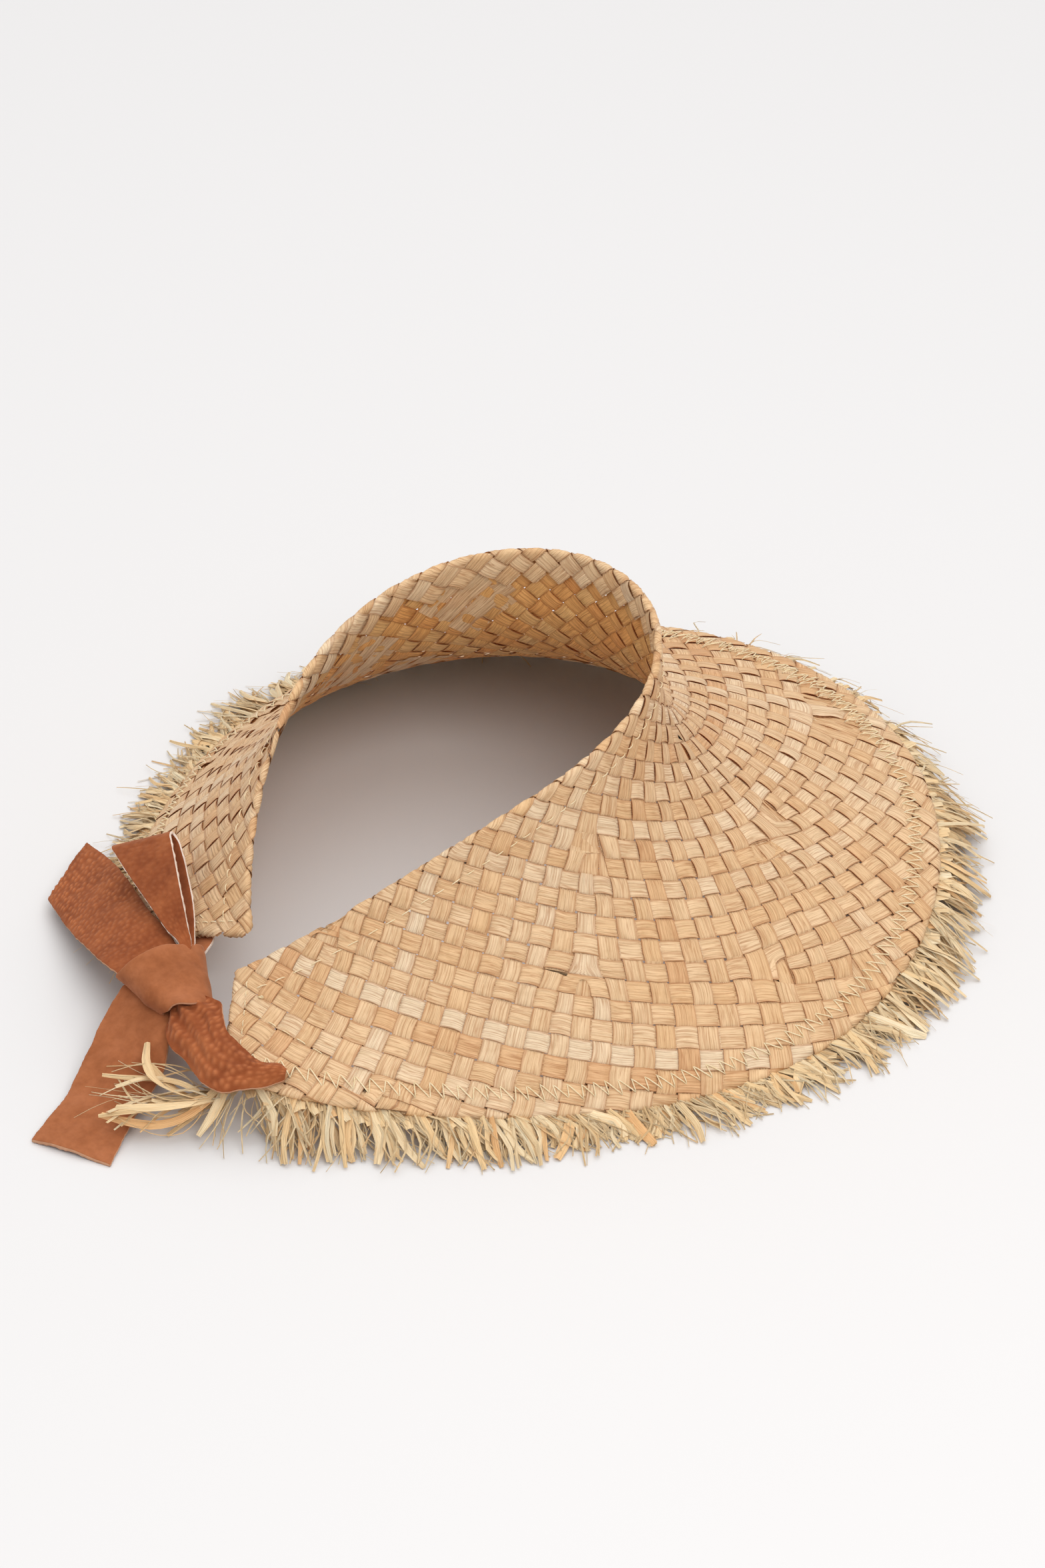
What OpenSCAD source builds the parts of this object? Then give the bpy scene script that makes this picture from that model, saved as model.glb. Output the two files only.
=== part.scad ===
// Open-crown straw visor with a raffia fringe and a suede tie that closes the split back.
// The bill points to -Y and the split back to +Y.  Bearings run from 0 at the bill's front,
// negative towards -X (the near side) and positive towards +X (the far side).

/* [Crown edge] */
// Half width of the oval that the crown edge follows
crown_half_w = 83; // [78:1:88]
// Reach of the crown oval in front of its centre
crown_front = 101; // [94:1:106]
// Reach of the crown oval behind its centre
crown_back = 103; // [96:1:108]
// How far the oval's centre lies behind the hat's centre
crown_centre_y = 49; // [44:1:54]
// How strongly the back of the crown pinches in towards the tie
crown_pinch = 0.56; // [0.4:0.02:0.7]
// Crown edge height at bearings 0, 45, 90, 135 and 180
crown_z = [131, 121.5, 101.5, 63, 30.5];

/* [Brim edge] */
// Brim radius at bearings 0, 45, 90, 135 and 180
brim_r = [178, 172, 167, 161.5, 180];
// Brim edge height at bearings 0, 45, 90, 135 and 180
brim_z = [24, 19, 6, 9.5, 22.5];
// How steep the crown wall is above the bill at the front, 1 is a straight cone
front_flare = 3.6; // [2:0.1:4]
// The same at the split back
back_flare = 1.05; // [1:0.05:1.5]

/* [Split back] */
// Bearing missing from the crown edge on the near side and on the far side
crown_gap = [17.5, 15];
// Bearing missing from the brim edge on the near side and on the far side
brim_gap = [12.5, 16.5];
// How far the near end slides behind the far end at the crown edge and at the brim edge
end_skew = [13, 15.5];
// Lift of the far brim corner, where the tie pulls it up
far_lift = 6; // [0:1:10]

/* [Straw] */
// Thickness of the woven straw
straw_t = 2; // [1.6:0.1:2.4]
// Thickness of a turned-over edge
fold_t = 1.2; // [0.8:0.1:1.6]
// Width of straw turned over at the crown edge
crown_fold_w = 14; // [10:1:18]
// Width of straw turned under at the brim edge
brim_fold_w = 16; // [12:1:20]
// Width of straw turned over at each end
end_fold_w = 8; // [6:1:10]
// Length of the loose fringe beyond the brim edge
fringe_l = 23; // [18:1:26]

/* [Stitching] */
// Thread diameter
thread_d = 0.6; // [0.4:0.1:0.8]
// Length of a running stitch
stitch_l = 6; // [4:1:8]
// Number of running stitches along the crown edge
crown_stitches = 46; // [30:1:60]
// Number of running stitches along each end
end_stitches = 4; // [3:1:6]
// Number of zigzag points along the brim
zigzags = 344; // [200:2:400]
// Height of the zigzag
zigzag_h = 6.5; // [5:0.5:8]
// Distance from the brim edge to the middle of the zigzag
zigzag_in = 10.5; // [9:0.5:12]

/* [Suede tie] */
// Width of the suede strap
strap_w = 38; // [34:1:42]
// Thickness of the suede
suede_t = 1.4; // [1:0.1:1.8]

/* [Hidden] */

straw_colour = [0.88, 0.72, 0.5];
fold_colour = [0.84, 0.66, 0.44];
fringe_colour = [0.95, 0.87, 0.68];
thread_colour = [0.95, 0.9, 0.75];
suede_colour = [0.64, 0.38, 0.25];

// Carries the hat from its own centre to the middle of its box, standing on the floor.
hat_shift = [0, -27, 0];

turns = 64;            // steps round the hat in a straw surface
rows = 8;              // steps between the crown fold and the brim fold in the woven body
skew_power = 15;       // keeps the skew of the ends within the last 40 degrees
gap = 0.1;             // air between layers that follow the same steps
loose_gap = 0.5;       // air between layers that don't
under_fold = straw_t / 2 + gap + fold_t;     // depth of a fold's inner face below the straw's middle
band_t = 1;            // thickness of the fringe's sewn band
under_band = under_fold + gap + band_t;

// ---- curves -------------------------------------------------------------------------------

// Smooth even curve through five values at 0, 45, 90, 135 and 180 degrees.
function half_ends(j) = (j == 0 || j == 4) ? 0.5 : 1;
function harmonic(v, k) = half_ends(k) / 2 * [for (j = [0:4]) half_ends(j) * v[j] * cos(45 * j * k)]
    * [1, 1, 1, 1, 1];
function through_five(v, a) = [for (k = [0:4]) harmonic(v, k) * cos(k * a)] * [1, 1, 1, 1, 1];

// Position s runs from -1 at the near end to 1 at the far end.
function bearing(s, missing) = s * (180 - (s < 0 ? missing[0] : missing[1]));
function end_pull(a) = sign(a) * pow(abs(sin(a / 2)), skew_power);

function crown_reach(a) = 1 / sqrt(pow(sin(a) / crown_half_w, 2)
    + pow(cos(a) / (cos(a) > 0 ? crown_front : crown_back), 2));
function crown_at(a) = [
    crown_reach(a) * sin(a) * pow(abs(cos(a / 2)), crown_pinch),
    crown_centre_y - crown_reach(a) * cos(a) - end_skew[0] * end_pull(a),
    through_five(crown_z, a)];
function brim_reach(a) = through_five(brim_r, a) - end_skew[1] * end_pull(a);
function brim_at(a) = [brim_reach(a) * sin(a), -brim_reach(a) * cos(a),
    through_five(brim_z, a) + far_lift * max(end_pull(a), 0)];
function flare(a) = back_flare + (front_flare - back_flare) * pow(0.5 + 0.5 * cos(a), 2);

// The straw's middle surface: t runs from 0 at the crown edge to 1 at the brim edge.
function straw(s, t) =
    let (a = bearing(s, crown_gap), top = crown_at(a), low = brim_at(bearing(s, brim_gap)),
        out = pow(t, flare(a)))
    [top[0] + (low[0] - top[0]) * out, top[1] + (low[1] - top[1]) * out, top[2] + (low[2] - top[2]) * t];
step = 0.004;
function unit(v) = v / norm(v);
function straw_out(s, t) =
    let (ss = min(max(s, step - 1), 1 - step), tt = min(max(t, step), 1 - step))
    unit(cross(straw(ss, tt + step) - straw(ss, tt - step), straw(ss + step, tt) - straw(ss - step, tt)));
function layer(s, t, depth) = straw(s, t) + straw_out(s, t) * depth;

// Distances in mm turned into t from either edge, and into s from either end.
function t_below_crown(s, mm) = mm / (norm(straw(s, 0.12) - straw(s, 0)) / 0.12);
function t_above_brim(s, mm) = 1 - mm / (norm(straw(s, 1) - straw(s, 0.9)) / 0.1);
function s_from_end(side, t, mm) = side * (1 - mm / (norm(straw(side, t) - straw(side * 0.96, t)) / 0.04));

// ---- solids -------------------------------------------------------------------------------

// A sheet from a list of sections; each section is [upper points, lower points] across the sheet.
module sheet_solid(sections) {
    n = len(sections[0][0]);
    last = len(sections) - 1;
    points = [for (section = sections, side = section, p = side) p];
    function up(k, j) = k * 2 * n + j;
    function dn(k, j) = k * 2 * n + n + j;
    function quad(a, b, c, d) = [[a, b, c], [a, c, d]];
    faces = [
        for (k = [0:last - 1], j = [0:n - 2]) each quad(up(k, j), up(k + 1, j), up(k + 1, j + 1), up(k, j + 1)),
        for (k = [0:last - 1], j = [0:n - 2]) each quad(dn(k, j), dn(k, j + 1), dn(k + 1, j + 1), dn(k + 1, j)),
        for (k = [0:last - 1]) each quad(up(k, 0), dn(k, 0), dn(k + 1, 0), up(k + 1, 0)),
        for (k = [0:last - 1]) each quad(up(k, n - 1), up(k + 1, n - 1), dn(k + 1, n - 1), dn(k, n - 1)),
        for (j = [0:n - 2]) each quad(up(0, j), up(0, j + 1), dn(0, j + 1), dn(0, j)),
        for (j = [0:n - 2]) each quad(up(last, j), dn(last, j), dn(last, j + 1), up(last, j + 1))];
    polyhedron(points, faces);
}

// A suede ribbon along a route of centres, with the half-width vector at each of them.
module ribbon(route, half_widths, thick = suede_t) {
    last = len(route) - 1;
    function along(i) = unit(route[min(i + 1, last)] - route[max(i - 1, 0)]);
    sheet_solid([for (i = [0:last]) let (w = half_widths[i], up = unit(cross(along(i), w)) * thick / 2)
        [[route[i] - w + up, route[i] + w + up], [route[i] - w - up, route[i] + w - up]]]);
}

// One stitch: a short thread from a to b.
module stitch(a, b) {
    d = b - a;
    translate(a) rotate([0, acos(d[2] / norm(d)), atan2(d[1], d[0])])
        cylinder(h = norm(d), d = thread_d, $fn = 16);
}
thread_out = straw_t / 2 + thread_d / 2 + loose_gap;      // height of a thread's middle above the straw's middle
zigzag_half_t = 0.005;                              // half of the zigzag thread's width down the straw

module placed(colour) { color(colour) translate(hat_shift) children(); }
function spread(from, to, n) = [for (i = [0:n]) from + (to - from) * i / n];

// ---- woven straw --------------------------------------------------------------------------

// Steps down the straw, with one at the edge of each fold.
function steps_down(s) = [0, each spread(edge_t(s, crown_fold_w), edge_t(s, -brim_fold_w), rows), 1];
module woven_body() {
    placed(straw_colour) sheet_solid([for (s = spread(-1, 1, turns)) [for (depth = [straw_t / 2, -straw_t / 2])
        [for (t = steps_down(s)) layer(s, t, depth)]]]);
}

// A layer under the straw between two distances from an edge.
module under_layer(reach, top_depth, low_depth) {
    sheet_solid([for (s = spread(-1, 1, turns)) [for (depth = [top_depth, low_depth])
        [for (mm = reach) layer(s, edge_t(s, mm), -depth)]]]);
}
// A place across the straw: positive mm below the crown edge, negative mm above the brim edge.
function edge_t(s, mm) = mm >= 0 ? t_below_crown(s, mm) : t_above_brim(s, -mm);

module crown_edge_fold() {
    placed(fold_colour) under_layer([0, crown_fold_w], straw_t / 2 + gap, under_fold);
}
module brim_edge_fold() {
    placed(fold_colour) under_layer([-brim_fold_w, -gap], straw_t / 2 + gap, under_fold);
}

// Turned-over strip along one end, between the crown fold and the brim fold.
module end_fold(side) {
    top = edge_t(side, crown_fold_w + 1);
    low = edge_t(side, -brim_fold_w - 1);
    function across(t, depth) = [for (mm = side * [end_fold_w, 0]) layer(s_from_end(side, t, abs(mm)), t, -depth)];
    sections = [for (t = spread(top, low, 4))
        [across(t, straw_t / 2 + loose_gap), across(t, straw_t / 2 + loose_gap + fold_t)]];
    placed(fold_colour) sheet_solid(side > 0 ? [for (i = [4:-1:0]) sections[i]] : sections);
}
module near_end_fold() { end_fold(-1); }
module far_end_fold() { end_fold(1); }

// ---- stitching ----------------------------------------------------------------------------

module crown_stitching() {
    placed(thread_colour) for (i = [0:crown_stitches - 1]) {
        s = -0.97 + 1.94 * (i + 0.5) / crown_stitches;
        run = straw(s + step, 0.05) - straw(s, 0.05);
        half = stitch_l / 2 * step / norm(run);
        stitch(layer(s - half, edge_t(s - half, crown_fold_w - 2), thread_out),
            layer(s + half, edge_t(s + half, crown_fold_w - 2), thread_out));
    }
}

module brim_zigzag_stitching() {
    // Each corner of the zigzag is one section of a thin thread.
    corners = [for (i = [0:zigzags]) let (s = -0.985 + 1.97 * i / zigzags,
        mm = zigzag_in + (i % 2 == 0 ? 1 : -1) * zigzag_h / 2) [s, edge_t(s, -mm)]];
    placed(thread_colour) sheet_solid([for (c = corners) [for (depth = [thread_out, thread_out - thread_d / 2])
        [for (side = [-1, 1]) layer(c[0], c[1] + side * zigzag_half_t, depth)]]]);
}

module end_stitching(side) {
    top = edge_t(side, crown_fold_w + 1);
    low = edge_t(side, -brim_fold_w - 1);
    placed(thread_colour) for (i = [0:end_stitches - 1]) {
        t0 = top + (low - top) * (i + 0.15) / end_stitches;
        t1 = top + (low - top) * (i + 0.85) / end_stitches;
        stitch(layer(s_from_end(side, t0, end_fold_w - 2), t0, thread_out),
            layer(s_from_end(side, t1, end_fold_w - 2), t1, thread_out));
    }
}
module near_end_stitching() { end_stitching(-1); }
module far_end_stitching() { end_stitching(1); }

// ---- fringe -------------------------------------------------------------------------------

module fringe_band() {
    placed(fringe_colour) under_layer([-brim_fold_w, -gap], under_fold + gap, under_band);
}

// The loose strands leave the band at the brim edge and fall to the floor.
fringe_tip_z = [1.2, 0];
module fringe_strands() {
    function outward(s) = let (a = bearing(s, brim_gap)) [sin(a), -cos(a), 0];
    function root(s, depth) = layer(s, 1, -depth) + outward(s) * gap;
    function tip(s, z) = let (p = brim_at(bearing(s, brim_gap)) + outward(s) * fringe_l) [p[0], p[1], z];
    function mid(s, depth, z) = (root(s, depth) + tip(s, z)) / 2 + [0, 0, 1.5];
    placed(fringe_colour) sheet_solid([for (s = spread(-1, 1, turns))
        [[root(s, 0.5), mid(s, 0.5, fringe_tip_z[0]), tip(s, fringe_tip_z[0])],
         [root(s, under_band + 1), mid(s, under_band + 1, fringe_tip_z[1]), tip(s, fringe_tip_z[1])]]]);
}

// The fringe's loose end runs on past the near end.
module fringe_tuft() {
    route = [[-41, 204, 11], [-36, 207, 8], [-32, 210, 4.5]];
    placed(fringe_colour) ribbon(route, [[2, 5, 0], [3, 8, 0], [4, 10, 0]], 3);
}

// ---- suede tie ----------------------------------------------------------------------------

module near_strap() {
    route = [[-60.3, 174.5, 26.4], [-53.5, 181.4, 27], [-43.5, 187.5, 26.5], [-28.5, 185.3, 26.8], [-13, 182.3, 26.3]];
    halves = [[-0.6, 3.5, -0.9], [-1.5, 6.9, -1.7], [-1.5, 10, -3], [1.5, 8.8, -3.8], [3, 7.8, -4.2]];
    placed(suede_colour) ribbon(route, halves, 2 * suede_t);
}
// The strap's end goes through a slit and is sewn flat under the straw.
module strap_tab(side, s0, s1) {
    placed(suede_colour) sheet_solid([for (s = spread(s0, s1, 2)) let (t0 = edge_t(s, -36), t1 = edge_t(s, -24),
        up = straw_t / 2 + loose_gap)
        [[layer(s, t0, -up), layer(s, t1, -up)], [layer(s, t0, -up - suede_t), layer(s, t1, -up - suede_t)]]]);
}
module near_strap_tab() { strap_tab(-1, -0.955, -0.87); }
module far_strap_tab() { strap_tab(1, 0.87, 0.955); }

module tab_stitching(s0, s1) {
    for (s = spread(s0, s1, 3))
        stitch(layer(s, edge_t(s, -33), thread_out), layer(s, edge_t(s, -27), thread_out));
}
module near_tab_stitching() { placed(thread_colour) tab_stitching(-0.945, -0.88); }
module far_tab_stitching() { placed(thread_colour) tab_stitching(0.88, 0.945); }

module far_strap() {
    route = [[17, 149.5, 27.5], [21, 146, 26.3], [26, 143.5, 25], [34, 141.5, 23]];
    placed(suede_colour) ribbon(route, [[6, 2, 0], [6, 3, -0.5], [5, 5, -1], [4, 6, -1.5]], 2 * suede_t);
}

// The knot narrows from the end where the tails leave it to the end where the near strap comes in.
// Each list gives that first end and the second: middle, half width and half height.
wrap_middle = [[23, 168.4, 27], [-4.5, 176.7, 24.6]];
wrap_wide = [[-4.4, -15, 0], [-4.8, -6.8, 0]];
wrap_tall = [[-3, 2.6, 9], [-3.4, 3, 6.4]];
function part_way(ends, share) = ends[0] + (ends[1] - ends[0]) * share;

module knot_core() {
    placed(suede_colour) hull() {
        translate(part_way(wrap_middle, 0.25)) sphere(d = 11, $fn = 24);
        translate(part_way(wrap_middle, 0.75)) sphere(d = 8, $fn = 24);
    }
}
// One turn of strap round the core, across the tie.
module knot_wrap() {
    wrap_turns = 24;
    function spot(a, share, in) = part_way(wrap_middle, share)
        + (1 - in / norm(part_way(wrap_wide, share))) * part_way(wrap_wide, share) * cos(a)
        + (1 - in / norm(part_way(wrap_tall, share))) * part_way(wrap_tall, share) * sin(a);
    function rings(in) = [for (i = [0:wrap_turns]) [for (share = [0, 0.5, 1]) spot(360 * i / wrap_turns, share, in)]];
    placed(suede_colour) rotate_loop(rings(0), rings(suede_t));
}
// A closed band from an outer and an inner list of rows that end where they start.
module rotate_loop(outer, inner) {
    n = len(outer) - 1;
    w = len(outer[0]);
    points = [for (k = [0:n - 1], side = [outer[k], inner[k]], p = side) p];
    function at(k, side, j) = (k % n) * 2 * w + side * w + j;
    function quad(a, b, c, d) = [[a, b, c], [a, c, d]];
    faces = [
        for (k = [0:n - 1], j = [0:w - 2]) each quad(at(k, 0, j), at(k, 0, j + 1), at(k + 1, 0, j + 1), at(k + 1, 0, j)),
        for (k = [0:n - 1], j = [0:w - 2]) each quad(at(k, 1, j), at(k + 1, 1, j), at(k + 1, 1, j + 1), at(k, 1, j + 1)),
        for (k = [0:n - 1]) each quad(at(k, 0, 0), at(k + 1, 0, 0), at(k + 1, 1, 0), at(k, 1, 0)),
        for (k = [0:n - 1]) each quad(at(k, 0, w - 1), at(k, 1, w - 1), at(k + 1, 1, w - 1), at(k + 1, 0, w - 1))];
    polyhedron(points, faces);
}

// The loop doubles back on itself: out along the upper layer and back along the lower one.
module bow_loop() {
    route = [[22, 158.4, 35.6], [27.7, 156, 37.2], [41.7, 150.6, 39.8], [58.6, 144.1, 42], [73.2, 137.9, 43],
        [78.6, 134.8, 41.2], [72.3, 133.8, 37], [57.7, 139.4, 35.3], [40.8, 146.1, 33.6], [27.1, 153, 32.8],
        [21.5, 156, 32.4]];
    halves = [[2.2, 2.5, -0.6], [3.1, 3.1, -1.5], [6.2, 3.8, -3.4], [9.9, 4.7, -5.1], [11.5, 6.2, -6.4],
        [11.8, 6.5, -6.6], [11.5, 6.2, -6.4], [9.9, 4.7, -5.1], [6.2, 3.8, -3.4], [3.1, 3.1, -1.5], [2.2, 2.5, -0.6]];
    placed(suede_colour) ribbon(route, halves);
}
// The upper tail is cut slanting.
module upper_tail() {
    route = [[28.5, 172.3, 28.3], [43.5, 167.8, 27.4], [67, 161, 22], [91, 152.3, 16.3], [121.5, 142.3, 7]];
    halves = [[1.2, 12.3, -1.3], [1.5, 13.8, -2], [1, 14.5, -3.8], [-1, 15.8, -4.3], [-9.5, 17.3, -1]];
    placed(suede_colour) ribbon(route, halves);
}
module lower_tail() {
    route = [[11, 184, 20], [6, 195, 11], [-4, 213, 4.5], [-12, 229, 2], [-22, 247, 1]];
    halves = [[-14, -3, 1], [-17, -3, 0.5], [-17, -7, 0], [-16, -8, 0], [-16.5, -8.5, 0]];
    placed(suede_colour) ribbon(route, halves);
}

woven_body();
crown_edge_fold();
brim_edge_fold();
near_end_fold();
far_end_fold();
crown_stitching();
brim_zigzag_stitching();
near_end_stitching();
far_end_stitching();
fringe_band();
fringe_strands();
fringe_tuft();
near_strap();
near_strap_tab();
near_tab_stitching();
far_strap();
far_strap_tab();
far_tab_stitching();
knot_core();
knot_wrap();
bow_loop();
upper_tail();
lower_tail();
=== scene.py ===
"""Looks for the straw sun visor: plaited straw strips, threads, a raffia fringe and a suede tie."""
import math

import bpy
import numpy as np
from mathutils import Matrix, Vector


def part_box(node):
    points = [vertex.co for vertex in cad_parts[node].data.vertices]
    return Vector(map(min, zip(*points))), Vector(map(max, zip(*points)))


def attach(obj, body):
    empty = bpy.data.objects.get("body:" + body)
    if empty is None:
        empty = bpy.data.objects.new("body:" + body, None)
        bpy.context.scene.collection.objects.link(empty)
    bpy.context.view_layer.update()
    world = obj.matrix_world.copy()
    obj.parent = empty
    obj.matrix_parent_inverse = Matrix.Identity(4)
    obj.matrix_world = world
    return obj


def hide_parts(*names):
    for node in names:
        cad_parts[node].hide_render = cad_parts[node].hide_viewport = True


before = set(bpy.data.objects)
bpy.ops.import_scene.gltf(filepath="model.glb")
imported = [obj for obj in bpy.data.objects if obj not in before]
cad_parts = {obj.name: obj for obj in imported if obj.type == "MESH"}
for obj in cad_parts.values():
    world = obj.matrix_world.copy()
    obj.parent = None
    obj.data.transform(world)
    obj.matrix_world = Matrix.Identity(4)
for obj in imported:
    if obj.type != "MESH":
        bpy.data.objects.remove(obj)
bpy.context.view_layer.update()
MM = 0.001


# ---- small helpers ---------------------------------------------------------------------------

def unit(v):
    return v / np.maximum(np.linalg.norm(v, axis=-1, keepdims=True), 1e-12)


def srgb(r, g, b):
    """Linear colour of an 8-bit sRGB one."""
    c = np.array([r, g, b]) / 255
    return (*np.where(c <= 0.04045, c / 12.92, ((c + 0.055) / 1.055) ** 2.4), 1.0)


def smooth_through(points, n):
    """n points on a smooth curve through the given ones, evenly spaced by chord length."""
    p = np.asarray(points, float)
    knots = np.concatenate([[0], np.cumsum(np.linalg.norm(np.diff(p, axis=0), axis=1))])
    slope = np.gradient(p, knots, axis=0)
    at = np.linspace(0, knots[-1], n)
    k = np.clip(np.searchsorted(knots, at, side="right") - 1, 0, len(knots) - 2)
    span = (knots[k + 1] - knots[k])[:, None]
    x = (at - knots[k])[:, None] / span
    return ((2 * x**3 - 3 * x**2 + 1) * p[k] + (x**3 - 2 * x**2 + x) * span * slope[k]
            + (3 * x**2 - 2 * x**3) * p[k + 1] + (x**3 - x**2) * span * slope[k + 1])


# ---- shape of the straw, in mm, in the hat's own frame ----------------------------------------

CROWN_HALF_W, CROWN_FRONT, CROWN_BACK = 83, 101, 103
CROWN_CENTRE_Y, CROWN_PINCH = 49, 0.56
CROWN_Z = np.array([131, 121.5, 101.5, 63, 30.5])
BRIM_R = np.array([178, 172, 167, 161.5, 180])
BRIM_Z = np.array([24, 19, 6, 9.5, 22.5])
FRONT_FLARE, BACK_FLARE = 3.6, 1.05
CROWN_GAP, BRIM_GAP = (17.5, 15), (12.5, 16.5)
CROWN_SKEW, BRIM_SKEW, FAR_LIFT, SKEW_POWER = 13, 15.5, 6, 15


def through_five(values, angle):
    """A smooth curve through five values from front to back, the same on both sides."""
    halves = np.array([0.5, 1, 1, 1, 0.5])
    j = np.arange(5)
    return sum(halves[k] / 2 * np.sum(halves * values * np.cos(j * k * math.pi / 4)) * np.cos(k * angle)
               for k in range(5))


def bearing(s, missing):
    """Angle from the front; each end stops short of the back by its missing degrees."""
    return np.radians(s * (180 - np.where(s < 0, missing[0], missing[1])))


def end_pull(angle):
    """How far an end is pulled out of line: about 0 round the front, -1 near end, 1 far end."""
    return np.sign(angle) * np.abs(np.sin(angle / 2)) ** SKEW_POWER


def crown_at(angle):
    depth = np.where(np.cos(angle) > 0, CROWN_FRONT, CROWN_BACK)
    reach = 1 / np.sqrt((np.sin(angle) / CROWN_HALF_W) ** 2 + (np.cos(angle) / depth) ** 2)
    x = reach * np.sin(angle) * np.abs(np.cos(angle / 2)) ** CROWN_PINCH
    y = CROWN_CENTRE_Y - reach * np.cos(angle) - CROWN_SKEW * end_pull(angle)
    return np.stack([x, y, through_five(CROWN_Z, angle)], -1)


def brim_at(angle):
    reach = through_five(BRIM_R, angle) - BRIM_SKEW * end_pull(angle)
    z = through_five(BRIM_Z, angle) + FAR_LIFT * np.maximum(end_pull(angle), 0)
    return np.stack([reach * np.sin(angle), -reach * np.cos(angle), z], -1)


def straw(s, t):
    """Middle of the straw: s from -1 at the near end to 1 at the far one, t from crown to brim, 0 to 1."""
    angle = bearing(s, CROWN_GAP)
    top, low = crown_at(angle), brim_at(bearing(s, BRIM_GAP))
    flare = BACK_FLARE + (FRONT_FLARE - BACK_FLARE) * (0.5 + 0.5 * np.cos(angle)) ** 2
    out = np.stack([t**flare, t**flare, t], -1)
    return top + (low - top) * out


STEP = 0.002


def straw_frame(s, t):
    """Point, its change with s and with t, and the outward normal."""
    s0, t0 = np.clip(s, -1 + STEP, 1 - STEP), np.clip(t, STEP, 1 - STEP)
    ds = (straw(s0 + STEP, t0) - straw(s0 - STEP, t0)) / (2 * STEP)
    dt = (straw(s0, t0 + STEP) - straw(s0, t0 - STEP)) / (2 * STEP)
    return straw(s, t), ds, dt, unit(np.cross(dt, ds))


def frame_shift():
    """Metres from the hat's own frame to the row frame: the straw's shell is laid on its CAD solid's box."""
    s, t = np.meshgrid(np.linspace(-1, 1, 129), np.linspace(0, 1, 17))
    point, _, _, normal = straw_frame(s, t)
    shell = np.concatenate([(point + normal).reshape(-1, 3), (point - normal).reshape(-1, 3)])
    low, high = (np.array(corner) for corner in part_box("woven_body"))
    return (low + high) / 2 - (shell.min(0) + shell.max(0)) / 2 * MM


SHIFT = frame_shift()
FLOOR_Z = -SHIFT[2] / MM


def to_row(p):
    return np.asarray(p, float) * MM + SHIFT


# ---- camera, light and floor -----------------------------------------------------------------

CAMERA_AZ, CAMERA_EL, CAMERA_DISTANCE = -130.966, 35.65, 1.9
LENS_MM = 105.2
AIM_UP, AIM_RIGHT = 0.01905, 0.0005        # where the picture's middle lies, off the hat's centre
AIM_HEIGHT = 6


def make_camera():
    a, e = math.radians(CAMERA_AZ), math.radians(CAMERA_EL)
    back = Vector((math.sin(a) * math.cos(e), -math.cos(a) * math.cos(e), math.sin(e)))
    right = Vector((math.cos(a), math.sin(a), 0))
    up = back.cross(right)
    data = bpy.data.cameras.new("view_camera")
    data.lens = LENS_MM
    data.sensor_width = 36
    data.clip_end = 50
    camera = bpy.data.objects.new("view_camera", data)
    bpy.context.scene.collection.objects.link(camera)
    look = (-back + up * AIM_UP + right * AIM_RIGHT).normalized()
    side = look.cross(up).normalized()
    top = side.cross(look)
    turn = Matrix((side, top, -look)).transposed().to_4x4()
    hat_centre = Vector(SHIFT) + Vector((0, 0, AIM_HEIGHT * MM))
    camera.matrix_world = Matrix.Translation(hat_centre + back * CAMERA_DISTANCE) @ turn
    bpy.context.scene.camera = camera
    return back, right


def area_light(name, place, target, size, power, colour):
    data = bpy.data.lights.new(name, "AREA")
    data.shape = "DISK"
    data.size = size
    data.energy = power
    data.color = colour
    light = bpy.data.objects.new(name, data)
    light.location = place
    light.rotation_euler = (Vector(target) - Vector(place)).to_track_quat("-Z", "Y").to_euler()
    bpy.context.scene.collection.objects.link(light)


LIGHT_COLOUR, FRONT_COLOUR = (1.0, 0.985, 0.965), (1.0, 0.97, 0.93)
WORLD_STRENGTH = 0.68
FLOOR_HALF = 6.0


def make_lights(back, right):
    """A bright room, a broad light over the hat and a small softbox from the camera's side."""
    world = bpy.data.worlds.new("studio")
    world.use_nodes = True
    background = world.node_tree.nodes["Background"]
    background.inputs["Color"].default_value = (*LIGHT_COLOUR, 1)
    background.inputs["Strength"].default_value = WORLD_STRENGTH
    bpy.context.scene.world = world
    bpy.context.scene.view_settings.view_transform = "Standard"
    level = Vector((back.x, back.y, 0)).normalized()
    above = Vector(SHIFT) - level * 0.8 + Vector((0, 0, 2.3))
    area_light("overhead_light", above, -level * 0.2, 3.4, 30, LIGHT_COLOUR)
    front = Vector(SHIFT) + level * 1.15 + right * 0.42 + Vector((0, 0, 1.45))
    area_light("front_softbox", front, (0, 0, 0.03), 1.1, 11, FRONT_COLOUR)


def make_floor():
    mesh = bpy.data.meshes.new("floor")
    corners = [(x * FLOOR_HALF, y * FLOOR_HALF, 0) for x, y in ((-1, -1), (1, -1), (1, 1), (-1, 1))]
    mesh.from_pydata(corners, [], [(0, 1, 2, 3)])
    floor = bpy.data.objects.new("floor", mesh)
    bpy.context.scene.collection.objects.link(floor)
    material = bpy.data.materials.new("pale_floor")
    material.use_nodes = True
    shader = material.node_tree.nodes["Principled BSDF"]
    shader.inputs["Base Color"].default_value = srgb(226, 226, 228)
    shader.inputs["Roughness"].default_value = 0.9
    mesh.materials.append(material)


make_lights(*make_camera())
make_floor()


# ---- materials -------------------------------------------------------------------------------

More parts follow.
